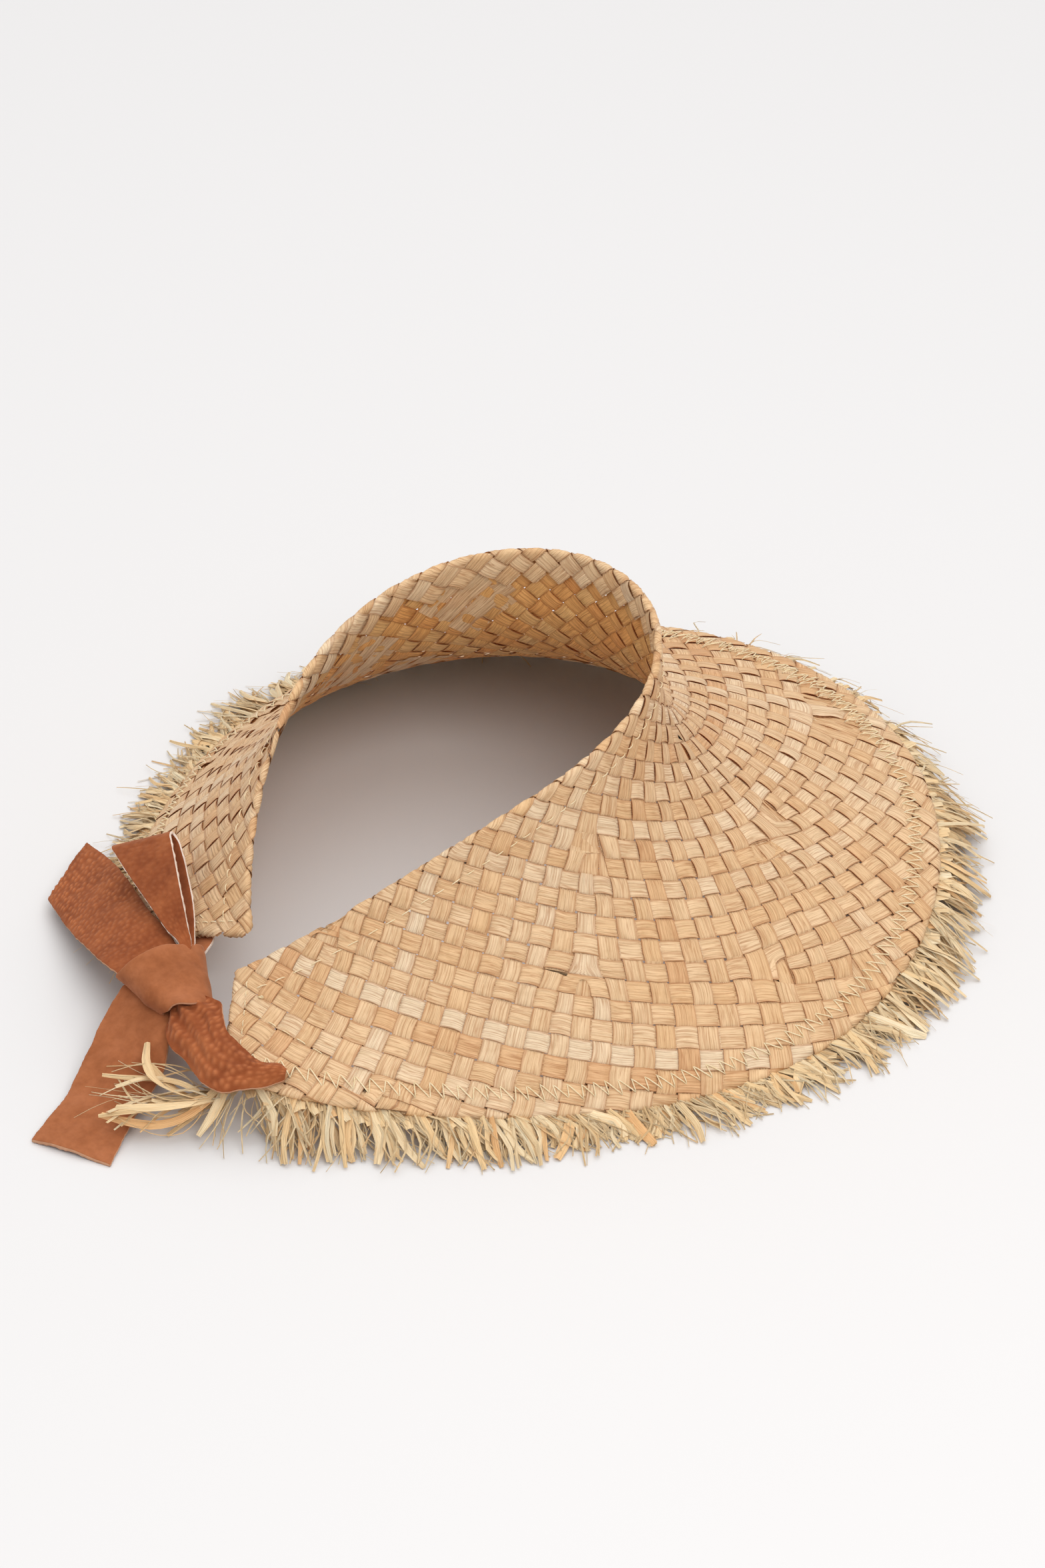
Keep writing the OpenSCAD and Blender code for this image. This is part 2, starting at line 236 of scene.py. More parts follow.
class Shader:
    """A material being built: thin wrappers round its node tree."""

    def __init__(self, name, roughness, sheen=0.0, specular=0.4):
        self.material = bpy.data.materials.new(name)
        self.material.use_nodes = True
        self.tree = self.material.node_tree
        self.main = self.tree.nodes["Principled BSDF"]
        self.main.inputs["Roughness"].default_value = roughness
        self.main.inputs["Specular IOR Level"].default_value = specular
        self.main.inputs["Sheen Weight"].default_value = sheen

    def node(self, kind, **values):
        made = self.tree.nodes.new(kind)
        for key, value in values.items():
            if key.startswith("in_"):
                made.inputs[key[3:].replace("_", " ")].default_value = value
            else:
                setattr(made, key, value)
        return made

    def link(self, source, target):
        self.tree.links.new(source, target)

    def maths(self, kind, a, b=None):
        made = self.node("ShaderNodeMath", operation=kind)
        for socket, value in zip(made.inputs, (a, b)):
            if value is None:
                continue
            if isinstance(value, (int, float)):
                socket.default_value = value
            else:
                self.link(value, socket)
        return made.outputs[0]

    def mix(self, factor, a, b, blend="MIX"):
        made = self.node("ShaderNodeMix", data_type="RGBA", blend_type=blend)
        for socket, value in ((made.inputs[0], factor), (made.inputs[6], a), (made.inputs[7], b)):
            if isinstance(value, (int, float, tuple)):
                socket.default_value = value
            else:
                self.link(value, socket)
        return made.outputs[2]

    def ramp(self, factor, stops):
        made = self.node("ShaderNodeValToRGB")
        made.color_ramp.elements[0].position, made.color_ramp.elements[0].color = stops[0]
        made.color_ramp.elements[1].position, made.color_ramp.elements[1].color = stops[-1]
        for position, colour in stops[1:-1]:
            made.color_ramp.elements.new(position).color = colour
        self.link(factor, made.inputs[0])
        return made.outputs[0]

    def noise(self, vector, scale, detail=3.0, rough=0.6):
        made = self.node("ShaderNodeTexNoise", in_Scale=scale, in_Detail=detail, in_Roughness=rough)
        self.link(vector, made.inputs["Vector"])
        return made.outputs["Fac"]

    def stretched(self, vector, scale):
        made = self.node("ShaderNodeMapping", in_Scale=scale)
        self.link(vector, made.inputs["Vector"])
        return made.outputs[0]

    def let_through(self, colour, share):
        """Lets some of the light that falls on the other side show through."""
        glow = self.node("ShaderNodeBsdfTranslucent")
        self.link(colour, glow.inputs["Color"])
        mixed = self.node("ShaderNodeMixShader")
        mixed.inputs[0].default_value = share
        self.link(self.main.outputs[0], mixed.inputs[1])
        self.link(glow.outputs[0], mixed.inputs[2])
        self.link(mixed.outputs[0], self.tree.nodes["Material Output"].inputs["Surface"])

    def bump(self, heights):
        """heights: (height, strength, distance in m) from the broadest to the finest."""
        last = None
        for height, strength, distance in heights:
            made = self.node("ShaderNodeBump", in_Strength=strength, in_Distance=distance)
            self.link(height, made.inputs["Height"])
            if last is not None:
                self.link(last, made.inputs["Normal"])
            last = made.outputs[0]
        self.link(last, self.main.inputs["Normal"])


WHITE, BLACK = (1, 1, 1, 1), (0, 0, 0, 1)


def grey(level):
    return (level, level, level, 1)


def straw_material(name, stops, painted_shade_colour, edge_shade, through, aged=1.0):
    """Flat plant strip: UV x runs across it, UV y along it in mm, and the tone attribute is its own shade."""
    m = Shader(name, 0.5, specular=0.35)
    painted_shade_colour = srgb(*painted_shade_colour)
    uv = m.node("ShaderNodeUVMap", uv_map="strip").outputs[0]
    tone = m.node("ShaderNodeAttribute", attribute_name="tone").outputs["Fac"]
    base = m.ramp(tone, [(position, srgb(*colour)) for position, *colour in stops])
    offset = m.node("ShaderNodeCombineXYZ")
    m.link(m.maths("MULTIPLY", tone, 37.0), offset.inputs[2])
    moved = m.node("ShaderNodeVectorMath", operation="ADD")
    m.link(uv, moved.inputs[0])
    m.link(offset.outputs[0], moved.inputs[1])
    place = moved.outputs[0]
    fibre = m.noise(m.stretched(place, (22, 0.09, 1)), 1.0, 4.0, 0.65)
    broad = m.noise(m.stretched(place, (2.6, 0.05, 1)), 1.0, 2.0)
    crease = m.noise(m.stretched(place, (7, 0.035, 1)), 1.0, 1.0)
    blotch = m.noise(m.stretched(place, (1.2, 0.22, 1)), 1.0, 3.0)
    streak = m.ramp(fibre, [(0.32, (0.62, 0.52, 0.42, 1)), (0.52, WHITE), (0.72, grey(1.04))])
    soft = m.ramp(broad, [(0.3, (0.80, 0.74, 0.66, 1)), (0.62, WHITE)])
    stain = m.ramp(blotch, [(0.28, (0.82, 0.72, 0.62, 1)), (0.5, WHITE)])
    colour = base
    for share, shade in ((0.65, streak), (0.5, soft), (0.4, stain)):
        colour = m.mix(share * aged, colour, shade, "MULTIPLY")
    # Painted shade: thin dark lines along the strips' creases.
    line = m.ramp(crease, [(0.44, BLACK), (0.5, WHITE), (0.56, BLACK)])
    colour = m.mix(m.maths("MULTIPLY", line, 0.5), colour, painted_shade_colour)
    # Painted shade: each strip darkens towards its two edges, where it meets its neighbours.
    across = m.node("ShaderNodeSeparateXYZ")
    m.link(uv, across.inputs[0])
    side = m.maths("ABSOLUTE", m.maths("SUBTRACT", m.maths("MULTIPLY", across.outputs[0], 2.0), 1.0))
    edge = m.maths("POWER", side, 9.0)
    colour = m.mix(m.maths("MULTIPLY", edge, edge_shade), colour, painted_shade_colour)
    m.link(colour, m.main.inputs["Base Color"])
    m.link(m.ramp(fibre, [(0.3, grey(0.62)), (0.7, grey(0.40))]), m.main.inputs["Roughness"])
    m.bump([(crease, 0.7, 0.0009), (broad, 0.5, 0.0009), (fibre, 0.6, 0.0005)])
    m.let_through(m.mix(1.0, colour, (1.0, 0.74, 0.46, 1), "MULTIPLY"), through)
    return m.material


def thread_material():
    m = Shader("pale_thread", 0.75, sheen=0.2)
    place = m.node("ShaderNodeTexCoord").outputs["Object"]
    twist = m.node("ShaderNodeTexWave", in_Scale=900.0, in_Distortion=2.0, bands_direction="DIAGONAL")
    m.link(place, twist.inputs["Vector"])
    mottle = m.noise(place, 400.0)
    colour = m.ramp(mottle, [(0.3, srgb(232, 208, 162)), (0.7, srgb(248, 232, 198))])
    m.link(colour, m.main.inputs["Base Color"])
    m.bump([(twist.outputs["Fac"], 0.5, 0.0001)])
    return m.material


def suede_material(name, base, dark, pale, pale_dot_and_highlight_colour, pores_shown):
    """Suede; the tone attribute is the height of the raised dots on the pigskin's rough side."""
    base, dark, pale, pale_dot_and_highlight_colour = (srgb(*colour) for colour in (base, dark, pale, pale_dot_and_highlight_colour))
    m = Shader(name, 0.92, sheen=0.3, specular=0.12)
    m.main.inputs["Sheen Roughness"].default_value = 0.45
    m.main.inputs["Sheen Tint"].default_value = srgb(235, 190, 160)
    place = m.node("ShaderNodeTexCoord").outputs["Object"]
    cloud = m.noise(place, 48.0, 4.0)
    brushed = m.noise(m.stretched(place, (1.0, 0.55, 1.0)), 150.0, 3.0)
    nap = m.noise(place, 1100.0, 3.0, 0.7)
    grain = m.noise(place, 300.0, 4.0, 0.65)
    colour = m.ramp(cloud, [(0.25, dark), (0.5, base), (0.8, pale)])
    tint = m.ramp(grain, [(0.3, (0.80, 0.76, 0.74, 1)), (0.62, (1.05, 1.05, 1.04, 1))])
    colour = m.mix(0.7, colour, tint, "MULTIPLY")
    strokes = m.ramp(brushed, [(0.50, BLACK), (0.72, WHITE)])
    colour = m.mix(m.maths("MULTIPLY", strokes, 0.30), colour, pale)
    # The raised dots are mixed to a paler colour: partly their own paler tone, partly painted highlight on
    # their lit tops.
    dots = m.node("ShaderNodeAttribute", attribute_name="tone").outputs["Fac"]
    colour = m.mix(m.maths("MULTIPLY", dots, 0.7), colour, pale_dot_and_highlight_colour)
    pores = m.node("ShaderNodeTexVoronoi", in_Scale=430.0, in_Randomness=1.0)
    m.link(place, pores.inputs["Vector"])
    pore = m.ramp(pores.outputs["Distance"], [(0.03, WHITE), (0.12, BLACK)])
    colour = m.mix(m.maths("MULTIPLY", pore, pores_shown), colour, dark)
    m.link(colour, m.main.inputs["Base Color"])
    m.bump([(cloud, 0.25, 0.001), (brushed, 0.30, 0.0005), (grain, 0.35, 0.0004), (nap, 0.35, 0.00012)])
    return m.material


STRAW_STOPS = [(0.0, 216, 160, 112), (0.2, 234, 184, 136), (0.42, 245, 205, 156), (0.7, 250, 217, 174),
               (1.0, 255, 233, 200)]
# The inner faces' more orange colours are painted glow: light let through the thin straw, put into the
# colour.
INSIDE_GLOW_STOPS = [(0.0, 232, 146, 80), (0.2, 246, 168, 96), (0.42, 254, 185, 110), (0.7, 255, 198, 124),
                (1.0, 255, 214, 150)]
FRINGE_STOPS = [(0.0, 246, 196, 140), (0.35, 255, 223, 172), (1.0, 255, 240, 206)]
# The third colour of each is painted shade, laid along the creases and the strip edges.
STRAW = straw_material("plaited_straw", STRAW_STOPS, (176, 110, 60), 0.6, 0.14)
INSIDE_PAINTED_GLOW = straw_material("plaited_straw_inside_painted_glow", INSIDE_GLOW_STOPS, (168, 96, 44), 0.6, 0.14)
FOLD = straw_material("folded_straw", STRAW_STOPS, (170, 106, 58), 0.6, 0.07)
FRINGE = straw_material("raffia_fringe", FRINGE_STOPS, (240, 192, 132), 0.2, 0.04, 0.45)
THREAD = thread_material()
# Each suede's fourth colour lightens its raised dots: their paler tone together with painted highlight.
SUEDE = suede_material("suede_smooth", (163, 99, 63), (143, 83, 50), (182, 116, 80), (178, 113, 76), 0.35)
ROUGH_SUEDE = suede_material("suede_dotted", (142, 75, 42), (119, 58, 31), (168, 98, 58), (200, 124, 80), 0.1)
PALE_EDGE = suede_material("suede_pale_cut_edge", (232, 216, 204), (210, 186, 170), (246, 238, 230),
                           (240, 230, 220), 0.0)
TAN_EDGE = suede_material("suede_tan_cut_edge", (196, 146, 114), (172, 120, 88), (214, 170, 140),
                          (214, 170, 140), 0.0)


# ---- meshes ----------------------------------------------------------------------------------

def make_piece(name, points, faces, materials, body, nodes=(), uv=None, tone=None, face_material=None):
    """A mesh piece from points in metres in the row frame and quads or triangles as index rows."""
    mesh = bpy.data.meshes.new(name)
    faces = np.asarray(faces, np.int32)
    mesh.vertices.add(len(points))
    mesh.vertices.foreach_set("co", np.asarray(points, np.float32).ravel())
    mesh.loops.add(faces.size)
    mesh.loops.foreach_set("vertex_index", faces.ravel())
    mesh.polygons.add(len(faces))
    mesh.polygons.foreach_set("loop_start", np.arange(0, faces.size, faces.shape[1], dtype=np.int32))
    mesh.polygons.foreach_set("use_smooth", np.ones(len(faces), bool))
    for material in materials:
        mesh.materials.append(material)
    if face_material is not None:
        mesh.polygons.foreach_set("material_index", np.asarray(face_material, np.int32))
    mesh.update(calc_edges=True)
    if uv is not None:
        layer = mesh.uv_layers.new(name="strip")
        layer.data.foreach_set("uv", np.asarray(uv, np.float32)[faces.ravel()].ravel())
    if tone is not None:
        mesh.attributes.new("tone", "FLOAT", "POINT").data.foreach_set("value", np.asarray(tone, np.float32))
    mesh.validate()
    piece = bpy.data.objects.new(name, mesh)
    bpy.context.scene.collection.objects.link(piece)
    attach(piece, body)
    if nodes:
        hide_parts(*nodes)
    return piece


def grid_faces(n, m):
    """Quads of an n by m grid of points."""
    k = np.arange(n * m).reshape(n, m)
    return np.stack([k[:-1, :-1], k[:-1, 1:], k[1:, 1:], k[1:, :-1]], -1).reshape(-1, 4)


def ring_faces(n, m):
    """Quads of n rings of m points."""
    k = np.arange(n * m).reshape(n, m)
    after = np.roll(k, -1, axis=1)
    return np.stack([k[:-1], after[:-1], after[1:], k[1:]], -1).reshape(-1, 4)


# ---- plaiting --------------------------------------------------------------------------------

COLUMNS, ROWS = 260, 72            # steps of the phase grid along the hat and down it
PAST_ENDS, PAST_EDGES = 5, 28      # extra steps that carry the pattern round the edges
STRIP_AT_CROWN, STRIP_AT_BRIM = 7.5, 9.0
FOLD_RADIUS = 1.1
CROWN_TURNOVER, BRIM_TURNUNDER, END_TURNOVER = 15, 18, 10
PERIOD = 2.0                       # extra strips come in pairs, so the phase is known to within two
GOLDEN_SHARE = 0.618034            # spreads the places where strips begin evenly down the cloth
MOST_ROUNDS, SMALL_ENERGY = 3000, 1e-10
ROUND_EDGE = 1.2                   # how far past an edge a strip counts as turned over


def wrap(x):
    return x - PERIOD * np.round(x / PERIOD)


def net_flow(along, down):
    """What flows out of each grid point, less what flows in, from the flows along the hat and down it."""
    out = np.zeros((COLUMNS + 1, ROWS + 1))
    out[1:] += along
    out[:-1] -= along
    out[:, 1:] += down
    out[:, :-1] -= down
    return out


def best_phase(weight_s, weight_t, goal):
    """The phase whose weighted slopes come nearest to the goal, by conjugate gradients."""
    diagonal = np.zeros_like(goal)
    diagonal[1:] += weight_s
    diagonal[:-1] += weight_s
    diagonal[:, 1:] += weight_t
    diagonal[:, :-1] += weight_t
    u = np.zeros_like(goal)
    left = goal.copy()
    push = left / diagonal
    step = push.copy()
    energy = np.sum(left * push)
    for _ in range(MOST_ROUNDS):
        moved = net_flow(weight_s * np.diff(step, axis=0), weight_t * np.diff(step, axis=1))
        length = energy / np.sum(step * moved)
        u += length * step
        left -= length * moved
        push = left / diagonal
        fresh = np.sum(left * push)
        if fresh < SMALL_ENERGY:
            break
        step = push + fresh / energy * step
        energy = fresh
    return u


def start_pairs(curl, seed):
    """Where pairs of strips begin, so that the cloth widens: the jumps in phase and their s, t places."""
    turn = np.sign(curl.sum())
    density = np.maximum(curl * turn, 0)
    density *= abs(curl.sum()) / density.sum()
    reach = np.cumsum(density.sum(1))
    pairs = int(round(reach[-1] / PERIOD))
    jump = np.zeros((COLUMNS, ROWS + 1))
    cores = []
    start = np.random.default_rng(seed).random()
    for k in range(pairs):
        column = int(np.searchsorted(reach, (k + 0.5) * reach[-1] / pairs))
        column = min(max(column, 4), COLUMNS - 5)
        down_to = np.cumsum(density[column]) / max(density[column].sum(), 1e-9)
        row = int(np.searchsorted(down_to, (start + k * GOLDEN_SHARE) % 1))
        row = min(max(row, 3), ROWS - 4)
        jump[column, row + 1:] -= PERIOD * turn
        cores.append(((column + 0.5) * 2 / COLUMNS - 1, (row + 0.5) / ROWS))
    return jump, cores


def strip_phase(grid, sign, seed):
    """Phase of one family of strips on the grid: it grows by one from strip to strip."""
    point, ds, dt, _ = grid
    down = unit(dt)
    side = unit(ds - np.sum(ds * down, -1, keepdims=True) * down)
    t = np.linspace(0, 1, ROWS + 1)[None, :, None]
    width = STRIP_AT_CROWN + (STRIP_AT_BRIM - STRIP_AT_CROWN) * t
    want = (side + sign * down) / (math.sqrt(2) * width)
    along = np.sum((want[1:] + want[:-1]) / 2 * np.diff(point, axis=0), -1)
    across = np.sum((want[:, 1:] + want[:, :-1]) / 2 * np.diff(point, axis=1), -1)
    jump, cores = start_pairs(along[:, :-1] + across[1:] - along[:, 1:] - across[:-1], seed)
    length_s = np.linalg.norm(ds, axis=-1) * 2 / COLUMNS
    length_t = np.linalg.norm(dt, axis=-1) / ROWS
    weight_s = (length_t / length_s)[:-1]
    weight_t = (length_s / length_t)[:, :-1]
    return best_phase(weight_s, weight_t, net_flow(weight_s * (along - jump), weight_t * across)), cores


def extended(u):
    """The phase carried on past all four edges at the slope it has there."""
    for axis, n in ((0, PAST_ENDS), (1, PAST_EDGES)):
        u = np.moveaxis(u, axis, 0)
        first, last = wrap(u[1] - u[0]), wrap(u[-1] - u[-2])
        before = [u[0] - first * k for k in range(n, 0, -1)]
        after = [u[-1] + last * k for k in range(1, n + 1)]
        u = np.moveaxis(np.concatenate([before, u, after]), 0, axis)
    return u


def sample(u, x, y):
    """Phase and its slopes at grid places x, y."""
    i = np.clip(np.floor(x).astype(int), 0, u.shape[0] - 2)
    j = np.clip(np.floor(y).astype(int), 0, u.shape[1] - 2)
    fx, fy = x - i, y - j
    base = u[i, j]
    b, c, d = (wrap(u[i + p, j + q] - base) for p, q in ((1, 0), (0, 1), (1, 1)))
    value = base + b * fx * (1 - fy) + c * (1 - fx) * fy + d * fx * fy
    return value, b * (1 - fy) + (d - c) * fy, c * (1 - fx) + (d - b) * fx


def seek(u, v, x, y, want_u, want_v, rounds):
    """Grid places near x, y where the two phases have the wanted values."""
    for _ in range(rounds):
        a, ax, ay = sample(u, x, y)
        b, bx, by = sample(v, x, y)
        ea, eb = wrap(want_u - a), wrap(want_v - b)
        det = ax * by - ay * bx
        det = np.where(np.abs(det) < 1e-4, np.inf, det)
        x = np.clip(x + np.clip((ea * by - eb * ay) / det, -3, 3), 0.01, u.shape[0] - 1.01)
        y = np.clip(y + np.clip((eb * ax - ea * bx) / det, -3, 3), 0.01, u.shape[1] - 1.01)
    a, b = sample(u, x, y)[0], sample(v, x, y)[0]
    return x, y, np.abs(wrap(want_u - a)) + np.abs(wrap(want_v - b))


def to_surface(x, y):
    """s, t and how far past an end and past an edge in mm, of grid places."""
    s = (x - PAST_ENDS) * 2 / COLUMNS - 1
    t = (y - PAST_EDGES) / ROWS
    sc, tc = np.clip(s, -1, 1), np.clip(t, 0, 1)
    _, ds, dt, _ = straw_frame(sc, tc)
    past_end = (np.abs(s) - np.abs(sc)) * np.linalg.norm(ds, axis=-1)
    past_edge = np.abs(t - tc) * np.linalg.norm(dt, axis=-1)
    return s, t, past_end, past_edge


def place_on_straw(x, y, height):
    """Points in mm for grid places at heights over the straw's middle, turned over at every edge."""
    s, t, past_end, past_edge = to_surface(x, y)
    sc, tc = np.clip(s, -1, 1), np.clip(t, 0, 1)
    _, ds, dt, _ = straw_frame(sc, tc)
    past = np.maximum(past_end, past_edge)
    at_end = past_end >= past_edge
    bend = math.pi * FOLD_RADIUS
    back = np.maximum(past - bend, 0)
    s_in = np.where(at_end, sc - np.sign(sc) * back / np.linalg.norm(ds, axis=-1), sc)
    t_in = np.where(at_end, tc, tc + np.where(t < 0.5, 1, -1) * back / np.linalg.norm(dt, axis=-1))
    point, ds, dt, normal = straw_frame(s_in, t_in)
    down = unit(dt)
    out_end = unit(ds - np.sum(ds * down, -1, keepdims=True) * down) * np.sign(sc)[..., None]
    out_edge = down * np.where(t < 0.5, -1, 1)[..., None]
    outward = np.where(at_end[..., None], out_end, out_edge)
    angle = np.minimum(past / FOLD_RADIUS, math.pi)[..., None]
    reach = FOLD_RADIUS + height[..., None]
    return point - FOLD_RADIUS * normal + reach * (np.cos(angle) * normal + np.sin(angle) * outward)


SAME_PLACE = 2.5                   # crossings closer than this, in mm, are one crossing


def bin_of(point, size):
    return tuple(np.floor(point / size).astype(int))


def in_bins_near(bins, key):
    """What lies in a bin and the 26 round it."""
    return [c for dx in (-1, 0, 1) for dy in (-1, 0, 1) for dz in (-1, 0, 1)
            for c in bins.get((key[0] + dx, key[1] + dy, key[2] + dz), ())]


def find_cells(u, v):
    """Middles of all crossings of two strips, without repeats: x, y, phases and flat place in mm."""
    x, y = np.meshgrid(np.arange(u.shape[0] - 1) + 0.5, np.arange(u.shape[1] - 1) + 0.5, indexing="ij")
    x, y = x.ravel(), y.ravel()
    want_u = np.floor(sample(u, x, y)[0]) + 0.5
    want_v = np.floor(sample(v, x, y)[0]) + 0.5
    x2, y2, miss = seek(u, v, x, y, want_u, want_v, 8)
    s, t, past_end, past_edge = to_surface(x2, y2)
    limit_edge = np.where(t < 0.5, CROWN_TURNOVER, BRIM_TURNUNDER)
    keep = (miss < 0.02) & (past_end < END_TURNOVER) & (past_edge < limit_edge)
    keep &= (past_end < 0.5) | (past_edge < 0.5)
    keep &= (np.abs(x2 - x) < 5) & (np.abs(y2 - y) < 22)
    x2, y2, want_u, want_v = x2[keep], y2[keep], want_u[keep], want_v[keep]
    spot = flat_place(x2, y2)
    seen, chosen = {}, []
    for k in range(len(x2)):
        key = bin_of(spot[k], 4)
        if any(np.abs(spot[k] - spot[c]).max() < SAME_PLACE for c in in_bins_near(seen, key)):
            continue
        seen.setdefault(key, []).append(k)
        chosen.append(k)
    pick = np.array(chosen)
    return x2[pick], y2[pick], want_u[pick], want_v[pick], spot[pick]


def flat_place(x, y):
    """Place in mm with the part past an edge laid out flat, so that no two places coincide."""
    s, t, past_end, past_edge = to_surface(x, y)
    sc, tc = np.clip(s, -1, 1), np.clip(t, 0, 1)
    point, ds, dt, _ = straw_frame(sc, tc)
    return (point + unit(ds) * (past_end * np.sign(s))[..., None]
            + unit(dt) * (past_edge * np.where(t < 0.5, -1, 1))[..., None])


def strip_names(u, v, cells, along_v):
    """A number for each cell, the same all along one strip, and the cell's place in that strip."""
    x, y, want_u, want_v, spot = cells
    bins = {}
    for k, p in enumerate(spot):
        bins.setdefault(bin_of(p, 6), []).append(k)
    parent = np.arange(len(x))

    def root(k):
        while parent[k] != k:
            parent[k] = parent[parent[k]]
            k = parent[k]
        return k

    step = (0, 1) if along_v else (1, 0)
    nx, ny, _ = seek(u, v, x, y, want_u + step[0] * 0.5, want_v + step[1] * 0.5, 4)
    nx, ny, miss = seek(u, v, nx, ny, want_u + step[0] * 0.99, want_v + step[1] * 0.99, 6)
    ahead = flat_place(nx, ny)
    for k in range(len(x)):
        if miss[k] > 0.05:
            continue
        near = [c for c in in_bins_near(bins, bin_of(ahead[k], 6)) if c != k]
        if not near:
            continue
        gaps = [np.linalg.norm(ahead[k] - spot[c]) for c in near]
        best = int(np.argmin(gaps))
        if gaps[best] < SAME_PLACE:
            parent[root(k)] = root(near[best])
    return np.array([root(k) for k in range(len(x))])


ACROSS, ALONG = 5, 9               # points over one crossing's patch
WEAVE_HEIGHT = 0.62
# The inner face's more orange colour is painted glow of light let through the straw.
SKIN = 0.15                        # from a strip's outer face to its more orange inner face
USUAL_SHADE, ODD_SHADE, ODD_SHARE = 0.62, 0.34, 0.03


def strip_patches(u, v, cells, along_v):
    """One curved patch of strip per crossing: points in mm of its outer and inner face, UV, tone."""
    x, y, want_u, want_v, _ = cells
    names = strip_names(u, v, cells, along_v)
    draw = np.random.default_rng(5 if along_v else 6)
    shade = draw.normal(USUAL_SHADE, 0.13, len(x))[names]
    odd = draw.random(len(x))[names] < ODD_SHARE
    shade = np.where(odd, ODD_SHADE, shade)
    narrow = draw.uniform(0.84, 0.99, len(x))[names]
    drift = draw.uniform(-0.03, 0.03, len(x))[names]
    a = np.linspace(-0.5, 0.5, ACROSS)[:, None]
    b = np.linspace(-0.5, 0.5, ALONG)[None, :]
    wobble = draw.uniform(-0.05, 0.05, (len(x), 1, 1))
    across = a[None] * narrow[:, None, None] + drift[:, None, None] + wobble * np.cos(math.pi * b)[None]
    along = np.broadcast_to(b[None], across.shape)
    shift = (across, along) if along_v else (along, across)
    goal_u = want_u[:, None, None] + shift[0]
    goal_v = want_v[:, None, None] + shift[1]
    px, py, miss = seek(u, v, np.broadcast_to(x[:, None, None], across.shape).copy(),
                        np.broadcast_to(y[:, None, None], across.shape).copy(), goal_u, goal_v, 9)
    on_top = (np.floor(want_u) + np.floor(want_v)) % 2 == 0
    rise = np.where(on_top == along_v, 1.0, -1.0)[:, None, None]
    wave = np.tanh(2.0 * np.cos(math.pi * along)) / math.tanh(2.0)
    arch = 1 - 0.30 * (2 * a[None]) ** 2
    tall = draw.uniform(0.8, 1.2, (len(x), 1, 1))
    tilt = draw.uniform(-0.2, 0.2, (len(x), 1, 1)) * (2 * a[None]) * np.cos(math.pi * along)
    height = rise * WEAVE_HEIGHT * wave * arch * tall + tilt
    points = np.stack([place_on_straw(px, py, height), place_on_straw(px, py, height - SKIN)])
    run = draw.uniform(0, 400, len(x))[names][:, None, None] + along * 8.5
    run = run + draw.uniform(-1, 1, (len(x), 1, 1))
    uv = np.stack([np.broadcast_to(a[None] + 0.5, across.shape), run], -1)
    tone = np.broadcast_to(shade[:, None, None] + draw.uniform(-0.07, 0.07, (len(x), 1, 1)), across.shape)
    good = miss.reshape(len(x), -1).max(1) < 0.2
    size = np.ptp(points[0].reshape(len(x), -1, 3), axis=1).max(1)
    return points, uv, np.clip(tone, 0, 1), good & (size < 26)


CORE_WIDTH, CORE_LENGTH, CORE_DEPTHS = 8.6, 34, (-0.45, -0.75)


def core_patches(cores):
    """Strips laid under the places where two strips begin, so that no hole shows: points in mm, UV, tone."""
    points, uvs, tones = [], [], []
    draw = np.random.default_rng(8)
    for s, t in cores:
        _, ds, dt, _ = straw_frame(np.array(s), np.array(t))
        down = unit(dt)
        side = unit(ds - np.dot(ds, down) * down)
        basis = np.linalg.pinv(np.stack([ds, dt], 1))
        for way, depth in zip((1, -1), CORE_DEPTHS):
            run, cross = unit(side - way * down), unit(side + way * down)
            for k in (-1.0, 0.0, 1.0):
                a = (np.linspace(-0.5, 0.5, ACROSS) * 0.96 + k)[:, None, None] * CORE_WIDTH * cross
                b = np.linspace(-0.5, 0.5, ALONG)[None, :, None] * CORE_LENGTH * run
                st = (a + b) @ basis.T
                point, _, _, normal = straw_frame(s + st[..., 0], np.clip(t + st[..., 1], 0, 1))
                lift = 0.25 * np.cos(np.linspace(-2, 2, ALONG) * math.pi + (k * way) * math.pi)[None, :, None]
                points.append(point + normal * (depth + lift))
                width, length = np.meshgrid(np.linspace(0, 1, ACROSS), np.linspace(0, CORE_LENGTH, ALONG),
                                            indexing="ij")
                uvs.append(np.stack([width, length + draw.uniform(0, 400)], -1))
                tones.append(np.full(width.shape, draw.uniform(0.45, 0.75)))
    return np.array(points), np.array(uvs), np.array(tones), np.ones(len(points), bool)


def patch_piece(name, families, material, node):
    """A piece from each family's points, UV and tone of its patches, and which of them to keep."""
    points, uv, tone = (np.concatenate([family[k][family[3]] for family in families]) for k in range(3))
    first = np.arange(len(points)) * ACROSS * ALONG
    faces = grid_faces(ACROSS, ALONG)[None] + first[:, None, None]
    make_piece(name, to_row(points.reshape(-1, 3)), faces.reshape(-1, 4), [material], "hat", (node,),
               uv=uv.reshape(-1, 2), tone=tone.ravel())


